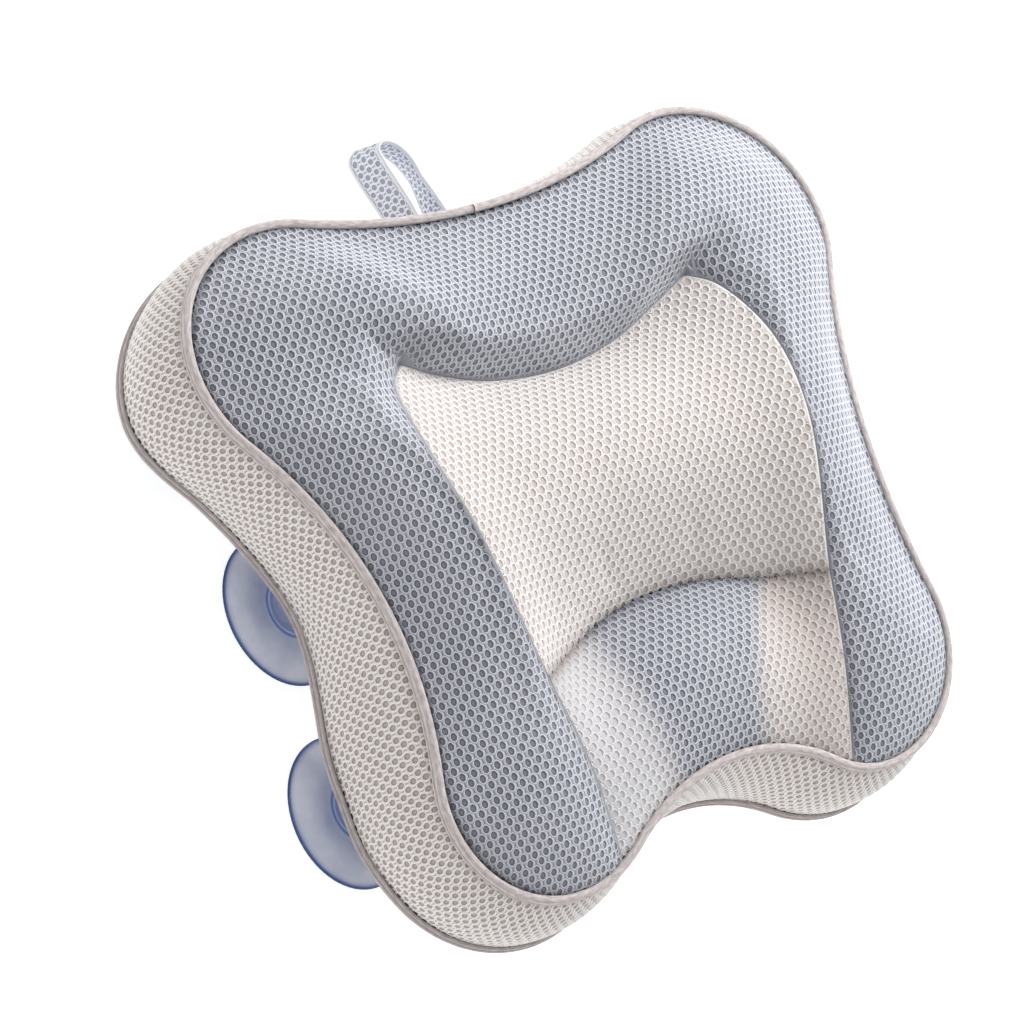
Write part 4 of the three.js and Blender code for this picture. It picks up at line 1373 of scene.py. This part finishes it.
# cuts the eyelets' holes
def boreHoles(piece):
    hole, (low, high) = backSheet["hole"], backSheet["punch"]
    profile = [(0, low), (hole, low), (hole, high), (0, high)]
    for x, y, _ in cupSeats:
        tool = lathe("punch", profile, toFrame((x, y, 0)), (0, 0, 1), backSheet["holeSides"])
        cut = piece.modifiers.new("hole", "BOOLEAN")
        cut.operation, cut.object, cut.solver = "DIFFERENCE", tool, "EXACT"
        dg = bpy.context.evaluated_depsgraph_get()
        mesh = bpy.data.meshes.new_from_object(piece.evaluated_get(dg), depsgraph=dg)
        piece.modifiers.remove(cut)
        old, piece.data = piece.data, mesh
        bpy.data.meshes.remove(old)
        removePiece(tool)


def buildBack():
    s = backSheet
    columns, rings = s["columns"], s["rings"]
    step = np.linspace(-halfSteps, halfSteps, columns, endpoint=False)
    share = np.linspace(0, 1, rings + 1)[1:]
    grid = backSeamAt(step, s["hem"])[:, None] * share[None, :, None]
    near = np.linalg.norm(grid, axis=-1) / np.linalg.norm(backSeamAt(step), axis=-1)[:, None]
    grid[..., 2] = -s["crown"] * (1 - np.minimum(near, 1) ** s["crownPower"]) - s["thickness"] / 2
    middle = np.array([[0, 0, -s["crown"] - s["thickness"] / 2]])
    points = np.concatenate([grid.reshape(-1, 3), middle])
    faces = gridFaces(columns, rings, True)
    first = np.arange(columns) * rings
    last = first + rings - 1
    hub = np.stack([np.roll(first, -1), first, np.full(columns, len(points) - 1)], -1)
    clear = np.ones(len(points), bool)
    for seat in cupSeats:
        clear &= np.linalg.norm(points[:, :2] - seat[:2], axis=-1) > s["hole"]
    sheetFaces = list(faces[clear[faces].all(-1)]) + list(hub)
    down = np.broadcast_to(np.array([0, 0, -1.0]), points.shape)
    flat = points[:, :2] * np.array([-1, 1])
    for side, part in zip(("right", "left"), cutLattice(latticeOf(flat), 2)):
        net = netOn("back_mesh_" + side, points, flat, down, whiteMesh, part, faces=sheetFaces)
        dress(net, "pillow")
    sunk = lining["depth"] * (1 - np.clip(1 - (1 - share) * s["rimSharpness"], 0, 1))
    upright = np.array([0, 0, 1])
    outer = points + np.append(np.tile(sunk, columns), lining["depth"])[:, None] * upright
    inner = points + upright * s["thickness"]
    size = len(points)
    upper = faces.tolist() + hub.tolist()
    lower = [face[::-1] for face in upper]
    upper = [[corner + size for corner in face] for face in upper]
    rim = [[a, b, b + size, a + size] for a, b in zip(last, np.roll(last, -1))]
    piece = newPiece("pillow_back", toFrame(np.concatenate([outer, inner])), lower + upper + rim)
    faceOut(piece)
    boreHoles(piece)
    none = np.zeros(len(piece.data.vertices))
    setValues(piece, yarn=none, pin=none)
    dress(piece, "pillow", whiteMesh, ["back_panel"])


buildBack()
print("back panel done")

# camera: place and axes in the shared frame
view = {
    "place": (-1.0750, -0.1546, 1.5521),
    "right": (0.7753, -0.3855, 0.5003),
    "up": (0.2731, 0.9189, 0.2848),
    "lens": 140.6,
    "sensor": 36,
    "reach": 20,
}


def buildCamera():
    camera = bpy.data.objects.new("camera", bpy.data.cameras.new("camera"))
    right, up = Vector(view["right"]).normalized(), Vector(view["up"]).normalized()
    back = right.cross(up).normalized()
    up = back.cross(right)
    turn = Matrix((right, up, back)).transposed().to_4x4()
    camera.matrix_world = Matrix.Translation(view["place"]) @ turn
    camera.data.lens = view["lens"]
    camera.data.sensor_width = view["sensor"]
    camera.data.clip_end = view["reach"]
    scene.collection.objects.link(camera)
    scene.camera = camera


# pale floor, even sky and one soft key light
stageSettings = {
    "floor": paint(250, 250, 250),
    "floorReach": 40,
    "floorGlow": 0.6,
    "world": 0.6,
    "keyPlace": (1.5, 0.75, 1.4),
    "keySize": 1.0,
    "keyPower": 43,
}


def buildStage():
    reach = stageSettings["floorReach"]
    corners = [(x * reach, y * reach, 0) for x, y in ((-1, -1), (1, -1), (1, 1), (-1, 1))]
    floor = newPiece("floor", corners, [(0, 1, 2, 3)], smooth=False)
    material, _, shader = newMaterial("floor")
    white = (1, 1, 1, 1)
    setInputs(shader, {"Base Color": stageSettings["floor"], "Roughness": 1.0})
    setInputs(shader, {"Emission Color": white, "Emission Strength": stageSettings["floorGlow"]})
    floor.data.materials.append(material)
    world = bpy.data.worlds.new("studio")
    world.use_nodes = True
    setInputs(world.node_tree.nodes["Background"], {"Color": white, "Strength": stageSettings["world"]})
    scene.world = world
    light = bpy.data.lights.new("key", "AREA")
    light.energy = stageSettings["keyPower"]
    light.size = stageSettings["keySize"]
    key = bpy.data.objects.new("key", light)
    key.location = stageSettings["keyPlace"]
    key.rotation_euler = (-Vector(stageSettings["keyPlace"])).to_track_quat("-Z", "Y").to_euler()
    scene.collection.objects.link(key)
    scene.view_settings.view_transform = "Standard"


buildCamera()
buildStage()
print("camera and stage done")
